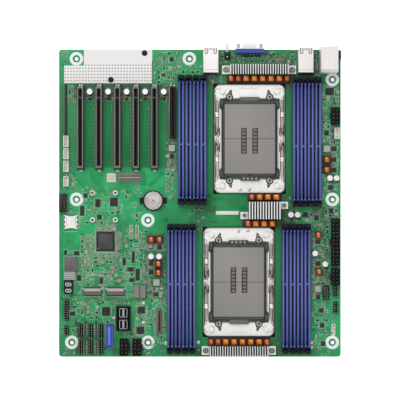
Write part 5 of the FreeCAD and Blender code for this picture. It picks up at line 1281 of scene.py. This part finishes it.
class MOTHERBOARD_OT_rear_ports(bpy.types.Operator):
    """Spring fingers, seams and pins of the rear ports, and the caps' wedges"""
    bl_idname = "motherboard.rear_ports"
    bl_label = "Rear ports"

    def execute(self, context):
        dark, mid, pale = (64, 58, 54), (150, 144, 138), (236, 232, 228)
        top = lift("lan_ports")
        rows, lines = [], []
        for column in (210.9, 305.5):
            rows += [(column, 50.0, 4.2, 0.8, top, 0.15, dark),
                     (column, 74.4, 14.6, 1.0, 0, top * 0.55, (44, 40, 40)),
                     (column, 70.4, 15.0, 0.25, top, 0.05, mid), (column - 4.4, 50.4, 1.1, 4.4, top, 0.1, pale),
                     (column + 4.4, 50.4, 1.1, 4.4, top, 0.1, pale)]
            for side in (-1, 1):
                x, y = spot(column + side * 4.4, 53.2)
                path = np.vstack([[(x - 1.45, y + 5.0)], arc(x, y, 1.45, 180, 360), [(x + 1.45, y + 5.0)]])
                lines.append(ribbon(path, 0.75, 0.12).moved(z=BOARD_TOP + top).painted(tone(*dark)))
        rows += [(340.0, 55.5, 1.2, 8.6, 0, 12.0, (70, 64, 58)),
                 (329.6, 72.2, 13.4, 1.0, 0, 14.0, (150, 146, 138)), (229.6, 59.0, 2.2, 1.2, 0, 5.0, (30, 28, 30)),
                 (227.4, 57.2, 1.2, 1.2, 5.6, 0.2, (222, 218, 210)), (227.4, 53.6, 4.8, 1.2, 5.6, 0.15, (60, 52, 48)),
                 (270.4, 55.4, 2.2, 1.6, 0, 1.6, (40, 36, 34)), (273.6, 54.0, 1.4, 2.6, 0, 1.4, (44, 40, 38)),
                 (266.6, 54.2, 1.6, 1.6, 0, 1.4, (50, 44, 40)), (281.0, 61.2, 6.6, 5.4, 0, 2.6, (150, 138, 130)),
                 (281.0, 61.2, 4.6, 3.6, 2.6, 0.2, (120, 110, 104))]
        rows += [(244.6 + step * 3.8, 56.0, 2.6, 1.5, 0, 1.5, (36, 32, 32)) for step in range(5)]
        rows += [(column + 0.6, row + 3.7, 2.4, 1.5, 0, 1.4, (24, 24, 26)) for column, row in CAP_SPOTS]
        rows += [(column, row + 6.9, 3.2, 2.2, 0, 1.5, (46, 34, 30)) for column, row in CAP_SPOTS[:5]]
        piece("rear_port_marks", blocks(rows) + joined(lines), SHARED["resin"])
        low, high = solid_boxes("heat_sink_screws")
        tops = np.column_stack([(low[:, :2] + high[:, :2]) / 2, high[:, 2]])
        ring = annulus(2.0, 3.0, 0.12, 24).painted(tone(74, 66, 62))
        cross = (bar(2.6, 0.6, 0.1, 0.04) + bar(0.6, 2.6, 0.1, 0.04)).painted(tone(70, 62, 58))
        scale = np.where((tops[:, 1] > spot(0, 230)[1]) & (tops[:, 1] < spot(0, 190)[1]), 0.55, 1.0)
        stretch = np.column_stack([scale, scale, np.ones(len(scale))])
        washer = tower(rectangle(8.2, 9.6, 3.4, 6), [(0, 0), (0, 0.2), (0.2, 0.35)]).painted(tone(255, 255, 252))
        feet = tops - (0, 0, 1.62)
        piece("sink_screw_rings", ring.at(tops, 0, stretch) + cross.at(tops, 30, stretch) + washer.at(feet, 0, stretch),
              SHARED["resin"])
        pins = row_of((*spot(241.6, 48.2), BOARD_TOP + 12.5), (2.2 * PITCH / 1.101 * 1.1, 0, 0), 9)
        piece("vga_folds", bar(0.5, 2.4, 0.3, 0.1).at(pins).painted(tone(214, 210, 206)), SHARED["tin"])
        return {"FINISHED"}


CAP_SPOTS = [(90.0, 92.0), (108.5, 92.0), (127.0, 92.0), (145.4, 92.0), (163.9, 92.0), (151.2, 256.5), (159.2, 256.5),
             (290.9, 214.9), (297.6, 214.9), (330.1, 178.1), (336.7, 178.1), (315.2, 253.5), (325.3, 264.1)]


class MOTHERBOARD_OT_chip_leads(bpy.types.Operator):
    """Leads, pads, printed outlines and first-pin dots of the chips"""
    bl_idname = "motherboard.chip_leads"
    bl_label = "Chip leads"

    def execute(self, context):
        look = context.scene.board_look
        low, high = solid_boxes("chips")
        centre, size = (low + high) / 2, high - low
        lead = bar(0.5, 1.0, 0.35, 0.08)
        places, turns, frames, dots = [], [], [], []
        for middle, (width, length, tall) in zip(centre[:, :2], size):
            across, along = (width, length) if length >= width else (length, width)
            steps = np.arange(-along / 2 + 0.7, along / 2 - 0.4, 1.0)
            upright = length >= width
            for side in (-1, 1):
                offset = side * (across / 2 + 0.3)
                ends = [(offset, step) if upright else (step, offset) for step in steps]
                places += [(*(middle + end), BOARD_TOP) for end in ends]
                turns += [90.0 if upright else 0.0] * len(steps)
            frames.append(frame_mark(width + 2.6, length + 2.6).moved(*middle, BOARD_TOP))
            dots.append((*(middle + (-width / 2 + 0.9, length / 2 - 0.9)), BOARD_TOP + tall))
        piece("chip_leads", lead.at(places, np.array(turns)).painted(tone(188, 190, 176)), SHARED["tin"])
        piece("chip_frames", joined(frames).painted(look.ink), SHARED["ink"])
        piece("chip_dots", tower(disc(0.35, 10), [(0, -0.02), (0, 0.03)]).at(dots).painted(tone(150, 148, 142)),
              SHARED["ink"])
        return {"FINISHED"}


FRAMES = [
    (123.7, 318.4, 18.0, 29.0), (109.6, 335.8, 9.4, 25.4), (92.6, 291.7, 22.6, 12.6), (115.5, 291.7, 22.6, 12.6),
    (71.0, 222.3, 15.6, 18.6), (105.6, 241.5, 21.6, 22.4), (68.8, 287.3, 11.4, 15.4), (71.2, 264.5, 15.2, 15.6),
    (129.8, 177.8, 24.2, 9.4), (159.0, 320.9, 9.8, 27.4), (76.5, 336.0, 7.0, 16.0), (96.0, 330.4, 8.0, 6.0),
    (137.2, 246.0, 8.0, 6.0), (150.6, 246.5, 8.6, 6.6), (325.0, 242.0, 5.4, 9.0), (318.6, 286.0, 8.4, 8.4),
    (320.6, 305.6, 9.4, 9.4), (320.0, 322.0, 9.4, 9.4), (321.0, 339.4, 9.4, 9.4), (168.0, 75.0, 10.0, 9.0),
    (135.0, 205.0, 6.0, 5.0), (88.4, 213.0, 7.0, 5.0), (104.0, 207.0, 8.0, 8.0), (118.8, 208.6, 7.0, 9.0),
]
PAD_LINES = [
    (106.0, 226.0, 20.0, 1, 0), (106.0, 228.4, 20.0, 1, 0), (118.6, 241.5, 17.0, 0, 1), (120.8, 241.5, 17.0, 0, 1),
    (103.0, 253.6, 34.0, 1, 0), (103.0, 256.0, 34.0, 1, 0), (92.0, 241.5, 15.0, 0, 1), (89.8, 241.5, 15.0, 0, 1),
    (324.6, 92.0, 14.0, 0, 1), (327.0, 96.0, 22.0, 0, 1), (324.6, 128.0, 18.0, 0, 1), (327.4, 132.0, 16.0, 0, 1),
    (313.8, 240.0, 14.0, 0, 1), (325.0, 262.0, 10.0, 0, 1), (168.8, 160.0, 22.0, 0, 1), (174.6, 160.0, 18.0, 0, 1),
    (131.0, 276.0, 22.0, 1, 0), (131.0, 279.0, 22.0, 1, 0), (72.0, 251.0, 12.0, 1, 0), (72.0, 253.6, 12.0, 1, 0),
    (100.0, 272.0, 26.0, 1, 0), (100.0, 275.0, 26.0, 1, 0), (137.0, 332.0, 10.0, 1, 0), (137.0, 336.0, 10.0, 1, 0),
]


def pad_line(column, row, length, across, along):
    """A row of small two-ended parts with pale pads, length px long, running across or along the board."""
    steps = np.arange(-length / 2, length / 2, 1.55)
    places = np.column_stack([column + across * steps, row + along * steps])
    return np.array([spot(*place) for place in places]), 90.0 * across


class MOTHERBOARD_OT_connectors(bpy.types.Operator):
    """Mouths, tongues, printed frames, pad lines and segment lines of the small connectors"""
    bl_idname = "motherboard.connectors"
    bl_label = "Connectors"

    def execute(self, context):
        rows = connector_rows()
        piece("connector_marks", blocks(rows, 0.12), SHARED["resin"])
        marks = [frame_mark(width * PITCH, length * PITCH, 0.26).moved(*spot(column, row), BOARD_TOP)
                 for column, row, width, length in FRAMES]
        piece("connector_frames", joined(marks).painted(tone(206, 236, 216)), SHARED["ink"])
        table = covered_cells()
        chip = bar(1.0, 0.8, 0.55, 0.06).moved(z=0.02).painted(tone(150, 132, 106))
        ends = joined([bar(0.42, 0.86, 0.6, 0.05).moved(x=side * 0.62) for side in (-1, 1)])
        ends = ends.painted(tone(220, 222, 206))
        pads = []
        for line in PAD_LINES:
            places, turn = pad_line(*line)
            places = places[open_places(table, places, 2.2, 2.2)]
            if len(places):
                pads.append((chip + ends).at(np.column_stack([places, np.full(len(places), BOARD_TOP)]), turn))
        piece("pad_lines", joined(pads), SHARED["resin"])
        rings = [annulus(4.3, 4.54, 0.03, 32).moved(*spot(*place), BOARD_TOP) for place in CAP_SPOTS]
        rings.append(annulus(11.3, 11.8, 0.03, 48).moved(*spot(153.4, 200.7), BOARD_TOP))
        piece("part_rings", joined(rings).painted(tone(206, 236, 216)), SHARED["ink"])
        ring = annulus(1.35, 2.9, 0.12, 24).painted(tone(240, 236, 222))
        hub = annulus(0.5, 1.3, 0.1, 16).painted(tone(60, 56, 50))
        places = [(*spot(*place), BOARD_TOP + 2.4) for place in ((92.6, 220.0), (115.5, 220.0), (115.5, 193.0))]
        places.append((*spot(92.3, 193.0), BOARD_TOP))
        piece("standoff_rings", (ring + hub).at(places), SHARED["ink"])
        low, high = solid_boxes("contact_pins")
        tips = np.column_stack([(low[:, :2] + high[:, :2]) / 2, high[:, 2]])
        piece("pin_tips", bar(0.7, 0.7, 0.12, 0.05).at(tips).painted(tone(204, 200, 184)), SHARED["tin"])
        joint = tower(disc(0.9, 10), [(0, 0), (0.35, -0.5), (0.65, -1.3)][::-1])
        under = np.column_stack([tips[:, :2], np.full(len(tips), BOARD_UNDER)])
        piece("solder_joints", joint.at(under).painted(tone(190, 190, 184)), SHARED["tin"])
        digits = joined([segment_digit().at([(*spot(68.8, row), BOARD_TOP + lift("digit_display"))], -90)
                         for row in (284.4, 290.6)])
        plus = (bar(3.4, 0.5, 0.06, 0.02) + bar(0.5, 3.4, 0.06, 0.02)).painted(tone(96, 92, 88))
        rim = annulus(7.0, 7.3, 0.05, 48).painted(tone(126, 122, 118))
        cell = (*(np.array(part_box("coin_cell")[0][:2]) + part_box("coin_cell")[1][:2]) / 2 / MM,
                BOARD_TOP + lift("coin_cell"))
        piece("cell_marks", plus.at([cell], 20) + rim.at([cell]), SHARED["tin"], "coin_cell")
        piece("display_digits", digits.painted(tone(236, 236, 232)), SHARED["ink"])
        return {"FINISHED"}


def segment_digit():
    """A seven-bar figure eight: three bars across and four upright ones."""
    flat = [(0, y) for y in (-2.9, 0, 2.9)]
    tall = [(x, y) for x in (-1.5, 1.5) for y in (-1.45, 1.45)]
    return bar(2.2, 0.75, 0.1, 0.04).at(flat) + bar(0.75, 2.2, 0.1, 0.04).at(tall)


def connector_rows():
    """Rows for blocks: the small connectors' own mouths, rails and tongues."""
    black, pale = (24, 22, 24), (214, 214, 206)
    rows = [(63.4, 203.0, 8.0, 18.2, 0, 6.5, (34, 32, 34)), (63.0, 203.0, 3.0, 14.0, 6.5, 0.2, black)]
    rows += [(61.6 + side * 3.0, 196.6 + step * 2.2, 0.7, 0.8, 6.5, 0.3, (120, 112, 100))
             for side in (0, 1) for step in range(7)]
    rows += [(129.8, 177.8, 22.0, 7.2, 3.6, 0.1, (136, 128, 122))]
    rows += [(120.6 + step * 1.55, row, 0.8, 1.6, 3.68, 0.1, (52, 46, 44))
             for step in range(13) for row in (176.2, 179.4)]
    rows += [(129.8, 177.8, 20.0, 0.5, 3.68, 0.15, (196, 190, 182))]
    rows += [(159.0, 320.9, 5.2, 23.4, 5.0, 0.1, (112, 100, 92)), (159.5, 320.9, 1.8, 20.0, 5.08, 0.1, black),
             (155.0, 320.9, 0.7, 24.5, 0, 0.05, pale), (163.0, 320.9, 0.7, 24.5, 0, 0.05, pale),
             (156.9, 320.9, 0.7, 21.0, 5.08, 0.12, (150, 136, 126))]
    for column in (92.6, 115.5):
        rows += [(column, 290.0, 16.8, 3.0, 4.2, 0.1, (190, 188, 180)),
                 (column, 293.4, 16.8, 3.6, 4.2, 0.1, (128, 120, 110)),
                 (column, 296.6, 17.4, 0.8, 0, 0.9, (226, 224, 214)),
                 (column, 291.7, 16.0, 0.5, 4.3, 0.1, (60, 56, 54)),
                 (column - 9.3, 288.8, 1.6, 1.6, 0, 0.8, (236, 236, 228)),
                 (column + 9.3, 288.8, 1.6, 1.6, 0, 0.8, (236, 236, 228))]
        rows += [(column - 7.6 + step * 0.95, 293.6, 0.35, 2.6, 4.28, 0.1, (78, 70, 64)) for step in range(17)]
    rows += [(71.2, 264.5, 12.4, 13.0, 4.6, 0.1, (112, 106, 104)), (71.2, 264.5, 0.4, 11.0, 4.68, 0.1, (84, 80, 78))]
    rows += [(69.8, 272.2 + step * 1.8, 11.6, 0.8, 2.6, 0.15, (206, 210, 202)) for step in range(5)]
    rows += [(68.8, 287.4, 9.0, 13.0, 6.98, 0.06, (20, 20, 24))]
    rows += [(105.6, 241.5, 14.6, 15.4, 1.9, 0.12, (74, 72, 74)), (98.6, 248.4, 1.2, 1.2, 2.0, 0.08, (150, 150, 146))]
    rows += [(109.6, 335.8, 4.9, 20.6, 2.0, 5.6, (62, 88, 196)), (109.6, 335.8, 1.4, 18.0, 7.6, 0.3, (132, 150, 220)),
             (106.4, 335.8, 0.5, 22.4, 8.2, 0.08, (96, 122, 214)),
             (112.8, 335.8, 0.5, 22.4, 8.2, 0.08, (96, 122, 214))]
    for row in (312.6, 324.2):
        rows += [(123.7, row, 2.0, 7.0, 2.4, 5.0, (176, 178, 184))]
        rows += [(123.7 + side * 3.7, row, 0.5, 7.6, 8.0, 0.12, (196, 198, 204)) for side in (-1, 1)]
        rows += [(123.7, row + side * 4.2, 7.2, 0.5, 8.0, 0.12, (196, 198, 204)) for side in (-1, 1)]
    rows += [(131.6, 347.0, 1.0, 16.4, 0, 9.0, (140, 138, 134)), (166.2, 343.5, 3.6, 3.6, 0, 0.1, (226, 228, 214)),
             (198.5, 342.5, 3.0, 3.0, 0, 0.1, (226, 228, 214)), (111.4, 177.8, 9.0, 8.6, 0, 0.1, (238, 226, 222)),
             (111.4, 177.8, 6.6, 6.0, 0.1, 0.05, (226, 200, 196)),
             (227.5, 213.0, 23.0, 3.6, 0, 0.08, (236, 240, 232)),
             (131.2, 232.0, 3.4, 13.8, 0, 0.4, (178, 196, 172)), (137.2, 232.0, 3.4, 13.8, 0, 0.4, (178, 196, 172)),
             (131.2, 232.0, 1.2, 12.6, 0.4, 0.2, (110, 130, 108)),
             (137.2, 232.0, 1.2, 12.6, 0.4, 0.2, (110, 130, 108)),
             (333.5, 330.0, 4.0, 12.0, 0, 0.1, (222, 224, 212)), (326.2, 292.4, 5.6, 13.0, 0, 4.8, (34, 30, 32)),
             (143.5, 303.0, 3.0, 3.0, 0, 2.4, (226, 222, 206)), (143.5, 322.5, 3.0, 3.0, 0, 2.4, (226, 222, 206)),
             (114.2, 318.0, 2.8, 2.8, 0, 2.4, (226, 222, 206)), (311.5, 343.0, 2.6, 2.6, 0, 2.2, (232, 230, 218)),
             (311.5, 347.5, 2.6, 2.6, 0, 2.2, (232, 230, 218))]
    rows += [(64.6, row, 1.0, 2.4, 1.8, 0.08, (50, 46, 44)) for row in (217.6, 222.2, 226.8)]
    rows += [(77.2, row, 1.0, 2.4, 1.8, 0.08, (50, 46, 44)) for row in (217.6, 222.2, 226.8)]
    rows += [(71.0, 215.3, 5.6, 0.5, 1.8, 0.08, (120, 114, 108)), (71.0, 229.3, 5.6, 0.5, 1.8, 0.08, (120, 114, 108)),
             (66.4, 222.3, 0.4, 9.0, 1.8, 0.06, (150, 146, 140)), (75.6, 222.3, 0.4, 9.0, 1.8, 0.06, (150, 146, 140))]
    rows += [(column, row, 2.6, 2.6, 0, 2.0, (84, 80, 76)) for column, row in
             ((96.0, 338.6), (86.0, 338.6), (96.0, 322.6), (105.4, 348.0), (76.4, 322.4), (86.0, 322.0))]
    rows += [(column, row, 4.2, 3.8, 0, 2.2, (168, 152, 128)) for column, row in
             ((88.9, 264.6), (102.6, 262.4), (112.6, 267.9), (119.2, 281.0), (88.6, 312.0), (150.6, 246.5))]
    for column in (85.4, 96.4):
        for row in (324.2, 327.4, 330.6, 333.8, 343.0, 346.2, 349.4, 352.6):
            rows += [(column, row, 2.0, 1.7, 0, 0.9, (62, 54, 50)),
                     (column - 1.5, row, 0.7, 1.7, 0, 0.95, (206, 208, 194)),
                     (column + 1.5, row, 0.7, 1.7, 0, 0.95, (206, 208, 194))]
    return rows


class MOTHERBOARD_OT_stage(bpy.types.Operator):
    """Floor, light and camera"""
    bl_idname = "motherboard.stage"
    bl_label = "Stage"

    def execute(self, context):
        look = context.scene.stage_look
        scene = context.scene
        mesh = bpy.data.meshes.new("floor")
        reach = 6.0
        mesh.from_pydata([(-reach, -reach, 0), (reach, -reach, 0), (reach, reach, 0), (-reach, reach, 0)], [],
                         [(0, 1, 2, 3)])
        mesh.materials.append(floor_finish((0.9, 0.9, 0.9), look.glow))
        floor = bpy.data.objects.new("floor", mesh)
        scene.collection.objects.link(floor)
        world = bpy.data.worlds.new("studio")
        scene.world = world
        world.use_nodes = True
        world.node_tree.nodes["Background"].inputs[0].default_value = (0.95, 0.97, 1.0, 1)
        world.node_tree.nodes["Background"].inputs[1].default_value = 0.42
        for name, place, size, power in (("key", (-0.5, 0.7, 1.5), 1.2, look.key),
                                         ("fill", (0.9, -0.8, 1.3), 1.4, look.key * 0.5)):
            light = bpy.data.lights.new(name, "AREA")
            light.energy = power
            light.size = size
            lamp = bpy.data.objects.new(name, light)
            lamp.location = place
            lamp.rotation_mode = "QUATERNION"
            lamp.rotation_quaternion = (-lamp.location).to_track_quat("-Z", "Y")
            scene.collection.objects.link(lamp)
        view = bpy.data.cameras.new("camera")
        view.lens = look.lens
        view.sensor_width = 36
        camera = bpy.data.objects.new("camera", view)
        camera.location = (0.0002, 0.0001, (BOARD_TOP + look.distance) * MM)
        scene.collection.objects.link(camera)
        scene.camera = camera
        scene.view_settings.view_transform = "Standard"
        return {"FINISHED"}


class MOTHERBOARD_PT_panel(bpy.types.Panel):
    """Panel that lists the operators."""
    bl_idname = "MOTHERBOARD_PT_panel"
    bl_label = "Motherboard"
    bl_space_type = "VIEW_3D"
    bl_region_type = "UI"
    bl_category = "Motherboard"

    def draw(self, context):
        for group in LOOKS:
            settings = getattr(context.scene, group)
            for key in settings.__annotations__:
                self.layout.prop(settings, key)
        for operator in OPERATORS:
            self.layout.operator(operator.bl_idname)


LOOKS = {"board_look": BoardLook, "print_look": PrintLook, "memory_look": MemoryLook, "stage_look": StageLook}
OPERATORS = [MOTHERBOARD_OT_finishes, MOTHERBOARD_OT_rounded, MOTHERBOARD_OT_print, MOTHERBOARD_OT_traces,
             MOTHERBOARD_OT_memory, MOTHERBOARD_OT_slots, MOTHERBOARD_OT_sockets, MOTHERBOARD_OT_chokes,
             MOTHERBOARD_OT_rear_ports, MOTHERBOARD_OT_chip_leads, MOTHERBOARD_OT_connectors,
             MOTHERBOARD_OT_small_parts, MOTHERBOARD_OT_stage]


def register():
    """Register the settings, operators and panel."""
    for name, group in LOOKS.items():
        bpy.utils.register_class(group)
        setattr(bpy.types.Scene, name, bpy.props.PointerProperty(type=group))
    for operator in OPERATORS:
        bpy.utils.register_class(operator)
    bpy.utils.register_class(MOTHERBOARD_PT_panel)


def unregister():
    """Take the panel, operators and settings away."""
    bpy.utils.unregister_class(MOTHERBOARD_PT_panel)
    for operator in OPERATORS:
        bpy.utils.unregister_class(operator)
    for name, group in LOOKS.items():
        delattr(bpy.types.Scene, name)
        bpy.utils.unregister_class(group)


def main():
    """Build the whole scene in order."""
    register()
    for operator in OPERATORS:
        family, _, action = operator.bl_idname.partition(".")
        getattr(getattr(bpy.ops, family), action)()


if __name__ == "__main__":
    main()
